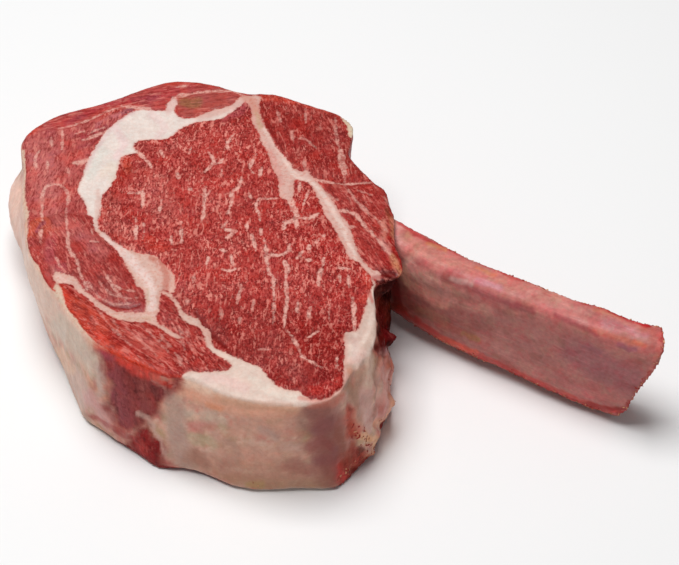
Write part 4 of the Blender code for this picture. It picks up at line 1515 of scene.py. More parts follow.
@dataclass(frozen=True)
class LeanAndFat:
    """The slab's finish: fibrous red lean, fine marbling, and fat with soft pink in it.

    Attributes:
        dark_lean: What the darkest fibres multiply the lean's colour by.
        light_lean: The colour of the finest pale fibres.
        fleck_size: Length and width of the fine marbling, in millimetres.
        fibre_size: Length and width of the light and dark of the fibres.
        relief: How deep the bump is.
    """

    dark_lean: tuple[float, float, float, float] = (0.54, 0.22, 0.20, 1.0)
    light_lean: Tint = Tint(222, 110, 100)
    fleck_size: Point = (3.4, 1.4)
    fibre_size: Point = (2.7, 1.45)
    relief: float = 0.35

    def build(self, effects: SharedEffects) -> bpy.types.Material:
        """Builds the material.

        Args:
            effects: The shared node groups.

        Returns:
            The material.
        """
        material, graph, shader = new_material("lean_and_fat")
        place = graph.millimetres()
        fibre = graph.attribute("fibre", "Vector")
        side = graph.attribute("side_share")
        fat = graph.effect(
            effects.torn_edge, "Mask",
            depth=graph.attribute("fat_depth"), place=place,
            wander=graph.math("MULTIPLY_ADD", side, 0.7, 0.6),
            size=graph.math("MULTIPLY_ADD", side, 3.2, 1.8),
            softness=graph.math("MULTIPLY_ADD", side, 2.6, 0.4),
        )
        vein = graph.effect(
            effects.torn_edge, "Mask",
            depth=graph.attribute("vein_depth"), place=place, wander=0.62, size=2.9, softness=0.4,
        )
        worn = graph.rise(graph.noise(place, 0.3, 3.0), 0.34, 0.5, (0.4, 1.0))
        frayed = graph.rise(graph.noise(place, 1.0, 2.0), 0.36, 0.54, (0.45, 1.0))
        vein = graph.times(vein, graph.times(worn, frayed))

        lean = self._lean(graph, effects, fibre, place, vein)
        tissue = self._fat(graph, effects, place)
        dots = graph.times(graph.rise(graph.noise(place, 0.5, 2.0), 0.56, 0.68), side)
        lean = graph.dyed(lean, (0.62, 0.45, 0.45, 1.0), graph.times(dots, 0.7))
        colour = graph.mix(fat, lean, tissue)
        graph.feed(shader.inputs["Base Color"], colour)

        wet = graph.effect(effects.moist, "Roughness", place=place, size=7.0, wet=0.34, dull=0.52)
        graph.feed(shader.inputs["Roughness"], wet)
        fine = graph.effect(effects.pitting, "Height", place=place, size=0.9)
        strands = graph.effect(
            effects.flecks, "Value", fibre=fibre, length=2.6, width=0.55, level=0.5, softness=0.2
        )
        height = graph.math("MULTIPLY_ADD", strands, 0.8, fine)
        bump = graph.add(
            "ShaderNodeBump", {"Strength": self.relief, "Distance": 0.3 * MM, "Height": height}
        )
        graph.feed(shader.inputs["Normal"], bump.outputs[0])
        gloss = graph.times(graph.attribute("gloss"), 0.22)
        graph.feed(shader.inputs["Specular IOR Level"], gloss)
        return material

    def _lean(
        self,
        graph: Graph,
        effects: SharedEffects,
        fibre: bpy.types.NodeSocket,
        place: bpy.types.NodeSocket,
        vein: bpy.types.NodeSocket,
    ) -> bpy.types.NodeSocket:
        """The lean with its light and dark fibres, flecks and thin veins of fat."""
        base = graph.attribute("lean_tint", "Color")
        for size, swing in ((9.0, 0.32), (1.9, 0.34)):
            base = graph.effect(
                effects.mottle, "Colour", place=place, colour=base, size=size, amount=swing
            )
        for scale, low, high, hue in (
            (0.11, 0.50, 0.62, (1.06, 0.74, 0.62, 1.0)),
            (0.16, 0.53, 0.66, (0.97, 1.10, 1.32, 1.0)),
        ):
            share = graph.times(graph.rise(graph.noise(place, scale, 3.0), low, high), 0.6)
            base = graph.dyed(base, hue, share)
        amount = graph.attribute("fleck_share")
        coarse, fine = (
            graph.effect(
                effects.flecks, "Value", fibre=fibre, length=self.fibre_size[0] * size,
                width=self.fibre_size[1] * size, level=0.5, softness=0.3,
            )
            for size in (1.0, 0.5)
        )
        threads = graph.math("MULTIPLY_ADD", fine, 0.5, graph.times(coarse, 0.5))
        depth = graph.times(graph.rise(threads, 0.52, 0.40), graph.rise(amount, -0.1, 0.9))
        lean = graph.dyed(base, self.dark_lean, depth)
        cluster = graph.rise(graph.noise(place, 0.14, 2.0), 0.38, 0.6)
        richness = graph.times(graph.math("MULTIPLY_ADD", cluster, 0.7, 0.3), amount)
        pale = graph.times(graph.rise(threads, 0.52, 0.66), richness)
        lean = graph.mix(pale, lean, self.light_lean.rgba)
        length, width = self.fleck_size
        fleck = graph.effect(
            effects.flecks, "Mask",
            fibre=fibre, length=length, width=width, level=0.565, softness=0.07,
        )
        grit = graph.times(graph.rise(graph.noise(place, 1.5, 2.0), 0.60, 0.68), richness)
        fleck = graph.math("MAXIMUM", graph.times(fleck, richness), graph.times(grit, 0.7))
        lean = graph.mix(fleck, lean, WEB_TINT.rgba)
        web = graph.times(self._web(graph, fibre, place, amount), 0.7)
        lean = graph.mix(web, lean, WEB_TINT.rgba)
        # dark streaks of the lean, and painted shade where two of them lie along the root hollow
        dark_streak_and_shade = graph.rise(graph.attribute("dark_depth"), -0.5, 0.5)
        lean = graph.mix(graph.times(dark_streak_and_shade, 0.75), lean, graph.dyed(base, self.dark_lean))
        return graph.mix(
            graph.times(vein, graph.attribute("vein_share")), lean, VEIN_TINT.rgba
        )

    @staticmethod
    def _web(
        graph: Graph,
        fibre: bpy.types.NodeSocket,
        place: bpy.types.NodeSocket,
        amount: bpy.types.NodeSocket,
    ) -> bpy.types.NodeSocket:
        """Thin broken threads of fat that fork between the fibres, as a share from 0 to 1."""
        stretch = graph.add(
            "ShaderNodeVectorMath", {0: fibre, 1: (0.075, 0.23, 0.23)}, operation="MULTIPLY"
        ).outputs[0]
        ridge = graph.ridge(stretch, 1.0, 2.0)
        thread = graph.rise(ridge, 0.034, 0.008)
        here = graph.rise(graph.noise(place, 0.34, 3.0), 0.50, 0.60)
        return graph.times(graph.times(thread, here), amount)

    @staticmethod
    def _fat(
        graph: Graph, effects: SharedEffects, place: bpy.types.NodeSocket
    ) -> bpy.types.NodeSocket:
        """Fat: soft clouds, and thin pink where blood has run in."""
        base = graph.attribute("fat_tint", "Color")
        for size, swing in ((5.0, 0.18), (1.3, 0.14)):
            base = graph.effect(
                effects.mottle, "Colour", place=place, colour=base, size=size, amount=swing
            )
        ridge = graph.ridge(place, 0.28, 3.0)
        flush = graph.times(graph.rise(ridge, 0.05, 0.0), 0.3)
        speck = graph.rise(graph.noise(place, 0.75, 3.0), 0.48, 0.64)
        speck = graph.times(graph.times(speck, graph.attribute("blush")), 0.85)
        flush = graph.math("MAXIMUM", flush, speck)
        rim = graph.times(graph.rise(graph.attribute("fat_depth"), 1.3, 0.0), 0.7)
        flush = graph.math("MAXIMUM", flush, rim)
        return graph.dyed(base, (0.95, 0.74, 0.70, 1.0), flush)


@dataclass(frozen=True)
class BoneMembrane:
    """The rib's finish: pink membrane scraped thin, with red scraps and grains along its edges.

    Attributes:
        red: Raw scraps along the edges.
        grain: Grains of fat and bone among the scraps.
        shade: What darker clouds multiply the colour by.
        relief: How deep the bump is.
    """

    red: Tint = Tint(172, 40, 34)
    grain: Tint = Tint(226, 160, 112)
    shade: tuple[float, float, float, float] = (0.78, 0.72, 0.66, 1.0)
    relief: float = 0.35

    def build(self, effects: SharedEffects) -> bpy.types.Material:
        """Builds the material.

        Args:
            effects: The shared node groups.

        Returns:
            The material.
        """
        material, graph, shader = new_material("bone_membrane")
        place = graph.millimetres()
        fibre = graph.attribute("fibre", "Vector")
        colour = graph.attribute("membrane_tint", "Color")
        for size, amount in ((9.0, 0.28), (1.6, 0.3)):
            colour = graph.effect(
                effects.mottle, "Colour", place=place, colour=colour, size=size, amount=amount
            )
        for scale, hue in (
            (0.17, (1.02, 0.80, 0.84, 1.0)), (0.23, (0.97, 1.12, 1.02, 1.0)),
            (0.6, (1.04, 0.86, 0.88, 1.0)),
        ):
            share = graph.times(graph.rise(graph.noise(place, scale, 3.0), 0.5, 0.62), 0.8)
            colour = graph.dyed(colour, hue, share)
        cloud = graph.rise(graph.noise(place, 0.13, 3.0), 0.52, 0.66)
        colour = graph.dyed(colour, self.shade, graph.times(cloud, 0.6))
        streak = graph.effect(
            effects.flecks, "Mask", fibre=fibre, length=9.0, width=1.1, level=0.54, softness=0.12
        )
        colour = graph.dyed(colour, (1.25, 1.35, 1.35, 1.0), graph.times(streak, 0.4))
        torn = graph.effect(
            effects.torn_edge, "Mask",
            depth=graph.attribute("scrap_depth"), place=place, wander=1.3, size=2.2, softness=0.6,
        )
        colour = graph.mix(graph.times(torn, 0.6), colour, self.red.rgba)
        grain = graph.effect(
            effects.flecks, "Mask", fibre=fibre, length=1.0, width=0.8, level=0.62, softness=0.04
        )
        colour = graph.mix(graph.times(grain, torn), colour, self.grain.rgba)
        graph.feed(shader.inputs["Base Color"], colour)

        wet = graph.effect(effects.moist, "Roughness", place=place, size=6.0, wet=0.36, dull=0.56)
        graph.feed(shader.inputs["Roughness"], wet)
        fine = graph.effect(effects.pitting, "Height", place=place, size=0.8)
        bump = graph.add(
            "ShaderNodeBump", {"Strength": self.relief, "Distance": 0.25 * MM, "Height": fine}
        )
        graph.feed(shader.inputs["Normal"], bump.outputs[0])
        shader.inputs["Specular IOR Level"].default_value = 0.22
        return material


@dataclass(frozen=True)
class LooseScraps:
    """The finish of the small scraps that sawing and scraping left standing.

    Attributes:
        red: The colour of scraps of lean.
        fatty: The colour of grains of fat and bone.
        wet: Roughness.
    """

    red: Tint = Tint(176, 50, 42)
    fatty: Tint = Tint(226, 164, 124)
    wet: float = 0.42

    def build(self, effects: SharedEffects) -> bpy.types.Material:
        """Builds the material.

        Args:
            effects: The shared node groups.

        Returns:
            The material.
        """
        material, graph, shader = new_material("loose_scraps")
        place = graph.millimetres()
        share = graph.rise(graph.attribute("shade"), 0.35, 0.7)
        colour = graph.mix(share, self.red.rgba, self.fatty.rgba)
        colour = graph.effect(
            effects.mottle, "Colour", place=place, colour=colour, size=0.8, amount=0.5
        )
        graph.feed(shader.inputs["Base Color"], colour)
        shader.inputs["Roughness"].default_value = self.wet
        shader.inputs["Specular IOR Level"].default_value = 0.22
        return material


# ---------------------------------------------------------------- the slab


@dataclass(frozen=True)
class SlabRelief:
    """How far each kind of relief stands out of the slab or dips into it, in millimetres.

    Attributes:
        groove: The dip where fat meets lean on a cut face.
        bundles: The muscles' bundles.
        swell: The slow swell of a cut face.
        vein: The dip of a vein of fat.
        gash: The dip of a dark streak.
        lobes: The lobes of the outer fat.
        folds: The upright folds of the outer fat.
        bared: The dip of lean that lies bare on the side.
        rags: The rags of the torn corner.
        creases: The upright creases of the torn corner.
    """

    groove: float = 0.28
    bundles: float = 0.16
    swell: float = 0.14
    vein: float = 0.12
    gash: float = 0.25
    lobes: float = 0.30
    folds: float = 0.30
    bared: float = 0.35
    rags: float = 0.9
    creases: float = 1.3


# The outer fat round the side: at these angles from +X, its depth in millimetres, below 0 where
# lean shows through it
SIDE_FAT_ANGLES = (-180, -66, -50, -20, -10, 42, 60, 90, 120, 140, 155, 180)
SIDE_FAT_DEPTHS = (6.0, 5.0, 2.5, 1.0, -5.0, -5.0, -1.5, -1.0, -0.5, 2.0, 6.0, 6.0)

# Clouds of colour in it, largest first: the colour, the clouds' size and their pattern
SIDE_CLOUDS: tuple[tuple[Tint, float, int], ...] = (
    (side_tint(196, 140, 114), 15.0, 51),
    (side_tint(136, 108, 94), 12.0, 52),
    (side_tint(194, 162, 144), 10.0, 53),
    (side_tint(166, 92, 82), 6.5, 54),
    (side_tint(150, 118, 84), 7.0, 55),
    (side_tint(184, 106, 94), 4.2, 56),
    (side_tint(156, 136, 110), 3.6, 57),
    (side_tint(204, 166, 144), 3.0, 58),
)


@dataclass
class MeatSlab:
    """The slab of lean and fat.

    Attributes:
        camera: The photo's camera, which carries the outlined patches onto it.
        spacing: The distance between vertices on the sides; the cut face has half of it.
        smoothing: Rounds of smoothing that take out the solid's facets.
        centre: The plan point that angles round the side are measured from.
        relief: How far its relief goes.
    """

    camera: PhotoCamera
    spacing: float = 1.16
    smoothing: int = 5
    centre: Point = (-50.0 + PLAN_SHIFT[0], 28.0 + PLAN_SHIFT[1])
    relief: SlabRelief = SlabRelief()
    piece: bpy.types.Object = field(init=False)

    def build(self) -> bpy.types.Object:
        """Builds the mesh, moves its relief into it and paints its pattern."""
        self.piece = even_copy(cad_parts["meat"], "steak_slab", self.spacing)
        mesh = self.piece.data
        put_points(mesh, relax(points_of(mesh), edges_of(mesh), self.smoothing))
        self._refine_cut_face()
        self._measure()
        self._paint_faces()
        self._paint_sides()
        self._write()
        self._carve()
        return self.piece

    def _refine_cut_face(self) -> None:
        """Halves the spacing of the upper cut face, where the fine marbling shows."""
        mesh = self.piece.data
        level = (SLAB_HEIGHT - 2.2) * MM
        net = bmesh.new()
        net.from_mesh(mesh)
        edges = [edge for edge in net.edges if min(vert.co.z for vert in edge.verts) > level]
        bmesh.ops.subdivide_edges(net, edges=edges, cuts=1, use_grid_fill=True)
        net.to_mesh(mesh)
        net.free()
        mesh.shade_smooth()

    def _measure(self) -> None:
        """Works out where each vertex lies: on which face, at what angle, at what pixel."""
        mesh = self.piece.data
        self.points = points_of(mesh)
        self.normals = normals_of(mesh)
        height, level = self.points[:, 2], self.normals[:, 2]
        upper = ease(42.8, 45.0, height) * ease(0.25, 0.8, level)
        lower = ease(3.0, 1.0, height) * ease(-0.1, -0.55, level)
        self.side = np.clip(1.0 - upper - lower, 0.0, 1.0)
        away = self.points[:, :2] - self.centre
        self.angle = np.degrees(np.arctan2(away[:, 1], away[:, 0]))
        self.around = np.radians(self.angle) * SIDE_RADIUS
        self.pixels = self.camera.to_pixels(self.points)
        self.towards = -(self.normals @ self.camera.axes[2])

    def _plan(self) -> Array:
        """Plan place of each vertex; below, the seams have wandered on their way through."""
        drift = noise_pair(self.points * (1, 1, 0), 34.0, (31, 32), 1) * 5.0
        depth = ease(SLAB_HEIGHT - 4.0, 4.0, self.points[:, 2])[:, None]
        shrink = 1.0 + 0.02 * depth
        return (self.points[:, :2] - self.centre) * shrink + self.centre + drift * depth

    def _paint_faces(self) -> None:
        """Fat, veins and muscles as the cut faces show them."""
        plan = self._plan()
        self._lay_fat(plan)
        self._lay_veins(plan)
        grain, run = self._lay_muscles(plan)
        seen = self.camera.to_pixels(np.c_[plan, np.full(len(plan), SLAB_HEIGHT)])
        seen += noise_pair(self.points, 5.0, (33, 34)) * 2.0
        self.fat_tint, self.lean_tint = self._touched(
            self.fat_tint, self.lean_tint, FACE_TOUCHES, seen, np.ones(len(plan))
        )
        turn = np.radians(grain)
        along = plan[:, 0] * np.cos(turn) + plan[:, 1] * np.sin(turn)
        across = plan[:, 1] * np.cos(turn) - plan[:, 0] * np.sin(turn)
        self.fibre = np.stack([along / run, across, self.points[:, 2] * 0.3], axis=1)

    def _lay_fat(self, plan: Array) -> None:
        """The patches and seams of fat, from the plan place of each vertex."""
        self.fat_depth = np.full(len(plan), -DEPTH_LIMIT)
        self.fat_tint = np.tile(LOWER_LEFT_SEAM.tint.albedo, (len(plan), 1))
        self.blush = np.ones(len(plan))
        for area in FAT_AREAS:
            depth = depth_inside(plan, self._carried(area.outline))
            share = ease(-2.0, 0.5, depth)
            self.fat_depth = np.maximum(self.fat_depth, depth)
            self.fat_tint = blend(self.fat_tint, area.tint.albedo, share)
            self.blush = blend(self.blush, np.array(area.blush), share)
        for stroke in SEAM_STROKES:
            self.fat_depth = np.maximum(self.fat_depth, self._stroke_depth(plan, stroke))

    def _lay_veins(self, plan: Array) -> None:
        """The veins and the dark streaks, from the plan place of each vertex."""
        self.vein_depth, self.vein_share = np.full(len(plan), -DEPTH_LIMIT), np.zeros(len(plan))
        for stroke in VEINS:
            depth = self._stroke_depth(plan, stroke)
            self.vein_share = np.where(depth > self.vein_depth, stroke.strength, self.vein_share)
            self.vein_depth = np.maximum(self.vein_depth, depth)
        across, down = self.pixels.T
        self.vein_share *= 1.0 - 0.45 * ease(276.0, 312.0, down) * ease(284.0, 262.0, across)
        self.dark_depth = np.full(len(plan), -DEPTH_LIMIT)
        for stroke in DARK_STROKES:
            self.dark_depth = np.maximum(self.dark_depth, self._stroke_depth(plan, stroke))

    def _lay_muscles(self, plan: Array) -> tuple[Array, Array]:
        """The colours and the fine marbling of the lean.

        Args:
            plan: The plan place of each vertex.

        Returns:
            The plan direction of the fibres at each vertex, in degrees, and their run.
        """
        low = ease(275.0, 335.0, self.pixels[:, 1])
        lower_eye = np.tile(EYE_LOW_TINT.albedo, (len(plan), 1))
        self.lean_tint = blend(EYE_TINT.albedo, lower_eye, low)
        self.fleck_share = 1.0 - 0.35 * low
        grain, run = np.full(len(plan), EYE_GRAIN), np.ones(len(plan))
        for muscle in MUSCLES:
            depth = depth_inside(plan, self._carried(muscle.outline))
            share = ease(-0.8, 0.8, depth)
            self.lean_tint = blend(self.lean_tint, muscle.tint.albedo, share)
            self.fleck_share = blend(self.fleck_share, np.array(muscle.flecks), share)
            grain = np.where(depth > 0.0, muscle.grain, grain)
            run = np.where(depth > 0.0, muscle.run, run)
        return grain, run

    def _carried(self, outline: Sequence[Point]) -> Array:
        """An outline of the photo as a smooth one in plan."""
        return self.camera.to_plan(smooth_path(outline, closed=True))

    def _stroke_depth(self, plan: Array, stroke: Stroke) -> Array:
        """How deep each point lies inside a stroke, in millimetres."""
        path = self.camera.to_plan(smooth_path(stroke.line, closed=False))
        reach = stroke.width + 2.0
        depth = np.full(len(plan), -DEPTH_LIMIT)
        near = ((plan > path.min(axis=0) - reach) & (plan < path.max(axis=0) + reach)).all(axis=1)
        if near.any():
            away, along = distance_to_legs(plan[near], path)
            full = stroke.taper + (1.0 - stroke.taper) * np.sin(np.pi * along)
            depth[near] = stroke.width / 2 * full - away
        return depth

    def _paint_sides(self) -> None:
        """Fat and bared lean round the side, and painted shade in the root hollow and under the
        rim.
        """
        spots, side = self.points, self.side
        depth = np.interp(self.angle, SIDE_FAT_ANGLES, SIDE_FAT_DEPTHS)
        depth = depth + 4.5 * SoftNoise(13.0, 41, 2).at(spots)
        fat, lean = self._side_colours()

        pixels = self.pixels + noise_pair(spots, 7.0, (71, 72)) * 5.0
        facing = ease(-0.15, 0.05, self.towards)
        facing = facing * ((self.angle < 14.0) | (self.angle > 130.0))
        # the torn corner shows whichever way its folds face
        facing = np.where(np.abs(self.angle + 11.0) < 25.0, 1.0, facing)
        for bare in BARED_LEAN_AND_SHADE:
            inside = depth_inside(pixels, smooth_path(bare.outline, closed=True), 30.0)
            lean = blend(lean, bare.tint.albedo, ease(-10.0, 0.0, inside) * facing)
            depth = np.where(facing > 0.5, np.minimum(depth, -inside / 2.4), depth)
        fat, lean = self._touched(fat, lean, SIDE_TOUCHES, pixels, facing)
        height = spots[:, 2]
        streaks = drawn_noise(81, (self.around, 2.2), (height, 16.0))
        bundles = drawn_noise(82, (self.around, 1.5), (height, 11.0))
        fat = fat * (1.0 + 0.06 * streaks)[:, None]
        lean = lean * (1.0 + 0.42 * bundles)[:, None]

        nothing = np.full(len(spots), -DEPTH_LIMIT)
        well_round = ease(0.2, 0.6, side)
        self.fat_depth = blend(self.fat_depth, depth, side)
        self.fat_tint = blend(self.fat_tint, fat, side)
        self.lean_tint = blend(self.lean_tint, lean, side)
        self.vein_depth = blend(self.vein_depth, nothing, well_round)
        self.dark_depth = blend(self.dark_depth, nothing, well_round)
        self.fleck_share = blend(self.fleck_share, np.array(0.15), side)
        self.blush = blend(self.blush, np.array(0.4), side)
        hollow = depth_inside(pixels, smooth_path(ROOT_HOLLOW, closed=True), 30.0)
        in_hollow = ease(-6.0, 3.0, hollow) * facing * ease(0.1, 0.5, side)
        on_bared = ease(0.4, -1.0, depth) * side
        self.gloss = 1.0 - np.maximum(0.95 * in_hollow, 0.6 * on_bared)
        # the darkest lean of the cut face takes less of the light's haze
        deep = np.interp(self.lean_tint[:, 1], [0.012, 0.036], [0.3, 1.0])
        elsewhere = np.maximum(side, ease(-0.5, 0.5, self.fat_depth))
        self.gloss *= blend(deep, np.array(1.0), elsewhere)
        upright = np.stack([height, self.around, np.zeros(len(spots))], axis=1)
        self.fibre = np.where((side > 0.5)[:, None], upright, self.fibre)

    def _side_colours(self) -> tuple[Array, Array]:
        """The clouded colours of the outer fat and of the lean below it."""
        spots = self.points
        fat = np.tile(side_tint(174, 132, 116).albedo, (len(spots), 1))
        for tint, size, seed in SIDE_CLOUDS:
            strength = 0.9 if size > 5.0 else 0.6
            share = ease(0.05, 0.5, SoftNoise(size, seed, 3).at(spots)) * strength
            fat = blend(fat, tint.albedo, share)
        lean = np.tile(side_tint(140, 56, 50).albedo, (len(spots), 1))
        pale = ease(0.0, 0.6, SoftNoise(9.0, 61, 2).at(spots)) * 0.7
        return fat, blend(lean, side_tint(150, 84, 82).albedo, pale)

    @staticmethod
    def _touched(
        fat: Array, lean: Array, touches: Sequence[Touch], pixels: Array, share: Array
    ) -> tuple[Array, Array]:
        """Adds touches of colour.

        Args:
            fat: The colours of the fat.
            lean: The colours of the lean.
            touches: What to add, in order.
            pixels: Where each point shows.
            share: How much each point takes of them.

        Returns:
            The new colours of the fat and of the lean.
        """
        for touch in touches:
            part = touch.share(pixels) * share
            if touch.tissue is not Tissue.LEAN:
                fat = blend(fat, touch.tint.albedo, part)
            if touch.tissue is not Tissue.FAT:
                lean = blend(lean, touch.tint.albedo, part)
        return fat, lean

    def _write(self) -> None:
        """Keeps the painted values on the mesh."""
        mesh = self.piece.data
        for name in ("fat_depth", "vein_depth", "dark_depth"):
            paint(mesh, name, np.clip(getattr(self, name), -DEPTH_LIMIT, DEPTH_LIMIT))
        for name in ("vein_share", "blush", "gloss", "fleck_share"):
            paint(mesh, name, getattr(self, name))
        for name in ("fat_tint", "lean_tint"):
            paint(mesh, name, np.clip(getattr(self, name), 0.0, 0.95))
        paint(mesh, "side_share", self.side)
        facing = ease(0.0, 0.2, self.towards) * (self.angle < 10.0)
        crumbs = np.max([place.share(self.pixels) for place in CRUMB_PLACES], axis=0)
        paint(mesh, "scraps", self.side * facing * crumbs)
        paint_vector(mesh, "fibre", self.fibre)

    def _carve(self) -> None:
        """Moves the fine relief into the vertices, and stays inside the solid's box."""
        spots, angle, height, relief = self.points, self.angle, self.points[:, 2], self.relief
        along, across = self.fibre[:, 0], self.fibre[:, 1]
        groove = np.exp(-((self.fat_depth / 0.7) ** 2))
        bundles = drawn_noise(91, (along, 7.0), (across, 2.0), (height, 8.0))
        in_lean = 1.0 - ease(-0.3, 0.6, self.fat_depth)
        rise = (1.0 - self.side) * (
            -relief.groove * groove
            + relief.bundles * bundles * in_lean
            + relief.swell * SoftNoise(7.0, 92, 2).at(spots)
            - relief.vein * ease(-0.2, 0.4, self.vein_depth)
            - relief.gash * ease(-0.3, 0.6, self.dark_depth)
        )
        folds = drawn_noise(94, (self.around, 4.0), (height, 22.0))
        creases = drawn_noise(96, (self.around, 5.0), (height, 26.0))
        torn = ease(-66.0, -50.0, angle)
        ragged = torn * ease(6.0, -6.0, angle)
        rise += self.side * (
            relief.lobes * SoftNoise(4.5, 93, 3).at(spots)
            + relief.folds * folds
            - relief.bared * ease(0.5, -0.8, self.fat_depth)
            + ragged * (relief.rags * SoftNoise(3.4, 95, 2).at(spots) - 0.2)
            + ragged * (relief.creases * creases - 0.3)
        )
        lumpy = self.side * torn * ease(14.0, 6.0, angle)
        moved = spots + self.normals * rise[:, None]
        moved += sum(lump.shift(self.pixels) for lump in TORN_LUMPS) * lumpy[:, None]
        put_points(self.piece.data, kept_inside(moved, "meat"))


# ---------------------------------------------------------------- the rib


@dataclass
class RibBone:
    """The rib, with the membrane that scraping left on it.

    Attributes:
        camera: The photo's camera, which carries the touches of colour onto it.
        spacing: The distance between its vertices.
        smoothing: Rounds of smoothing that take out the solid's facets.
        line: Its middle line in the solids' plan, from the end in the meat to the free end.
        half_thick: Half its thickness, across that line.
        middle: The height of its middle.
        half_root: Half its breadth in the meat.
        half_end: Half its breadth at the free end.
        cut_at: A point of the slanting saw cut at the free end, in the solids' plan.
        cut_out: The direction that the cut faces.
        pink: The membrane's colour on the narrow top.
        mauve: Its colour on the broad side.
    """

    camera: PhotoCamera
    spacing: float = 0.66
    smoothing: int = 5
    line: tuple[Point, ...] = (
        (6, 43.5), (16, 34.5), (27, 25.2), (37.2, 16.4), (47.9, 9.1), (58.7, 2.7), (69.2, -3.6),
        (79.7, -9.8), (90.1, -15.7), (99, -20.2), (109, -24.6), (118, -28.4),
    )
    half_thick: float = 7.6
    middle: float = 23.5
    half_root: float = 18.75
    half_end: float = 22.25
    cut_at: tuple[float, float, float] = (112.6, -19.5, 43.5)
    cut_out: tuple[float, float, float] = (0.958, 0.0, -0.286)
    pink: Tint = Tint(204, 122, 115)
    mauve: Tint = side_tint(146, 89, 83)
    piece: bpy.types.Object = field(init=False)

    def build(self) -> bpy.types.Object:
        """Builds the mesh, its relief and its painted values."""
        self.piece = even_copy(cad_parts["rib_bone"], "rib", self.spacing)
        mesh = self.piece.data
        rough = points_of(mesh)
        smooth = relax(rough, edges_of(mesh), self.smoothing)
        put_points(mesh, blend(rough, smooth, ease(1.5, 6.0, self._end_distance(rough))))
        points, normals = points_of(mesh), normals_of(mesh)
        height = points[:, 2]
        away, share = self._place(points)
        along = share * float(np.hypot(*np.diff(self._path(), axis=0).T).sum())
        half = self.half_root + (self.half_end - self.half_root) * share
        edge = self._edge_depth(points, away, (height - self.middle) / half)
        paint(mesh, "scrap_depth", edge)
        paint(mesh, "scraps", ease(-1.2, 0.8, edge) * ease(0.24, 0.32, share))
        paint(mesh, "membrane_tint", self._colour(points, normals))
        paint_vector(mesh, "fibre", np.stack([along, height + away, away * 0.5], axis=1))

        streaks = drawn_noise(21, (along, 14.0), (height, 2.4), (away, 3.0))
        lumps = SoftNoise(6.0, 22, 3).at(points)
        scraps = SoftNoise(1.7, 23, 2).at(points) * ease(-1.5, 0.5, edge)
        relief = 0.16 * streaks + 0.22 * lumps + 0.45 * scraps
        moved = points + normals * relief[:, None]
        moved += sum(lump.shift(self.camera.to_pixels(points)) for lump in RIB_CORNERS)
        put_points(mesh, kept_inside(moved, "rib_bone"))
        mesh.shade_smooth()
        return self.piece

    def _colour(self, points: Array, normals: Array) -> Array:
        """The membrane's colour at each point, with painted shade and painted light by the root."""
        upright = np.tile(self.mauve.albedo, (len(points), 1))
        colour = blend(upright, self.pink.albedo, ease(0.15, 0.75, normals[:, 2]))
        pixels = self.camera.to_pixels(points) + noise_pair(points, 4.0, (25, 26)) * 2.5
        facing = ease(-0.05, 0.15, -(normals @ self.camera.axes[2]))
        for touch in RIB_TOUCHES:
            colour = blend(colour, touch.tint.albedo, touch.share(pixels) * facing)
        return colour

    def _path(self) -> Array:
        """The middle line in the frame, as many short legs."""
        return smooth_path(self.line, closed=False) + PLAN_SHIFT

    def _place(self, points: Array) -> tuple[Array, Array]:
        """Where points lie along and across the rib.

        Args:
            points: The points, one row each.

        Returns:
            The distance across, above 0 on the far side, and the share of the length.
        """
        path = self._path()
        away, along = distance_to_legs(points[:, :2], path)
        legs = np.diff(path, axis=0)
        pick = np.clip((along * len(legs)).astype(int), 0, len(legs) - 1)
        offset = points[:, :2] - path[pick]
        side = legs[pick, 0] * offset[:, 1] - legs[pick, 1] * offset[:, 0]
        return away * np.sign(side), along

    def _edge_depth(self, points: Array, away: Array, rise: Array) -> Array:
        """How deep each spot lies in the raw scraps along the edges.

        Args:
            points: The spots, one row each.
            away: The distance of each across the rib, above 0 on the far side.
            rise: Its height, from -1 at the lower edge to 1 at the top.

        Returns:
            The depth in millimetres, below 0 outside the scraps.
        """
        top_back = 2.6 - np.hypot((1.0 - rise) * 14.0, (self.half_thick - away) * 0.9)
        low_front = 3.4 - np.hypot((rise + 1.0) * 20.0, (self.half_thick + away) * 0.6)
        end = 1.0 - self._end_distance(points)
        return np.clip(np.max([top_back, low_front, end], axis=0), -DEPTH_LIMIT, DEPTH_LIMIT)

    def _end_distance(self, points: Array) -> Array:
        """Distance inwards from the saw cut at the free end."""
        at = np.array(self.cut_at) + (*PLAN_SHIFT, 0.0)
        return (at - points) @ self.cut_out


# ---------------------------------------------------------------- scraps


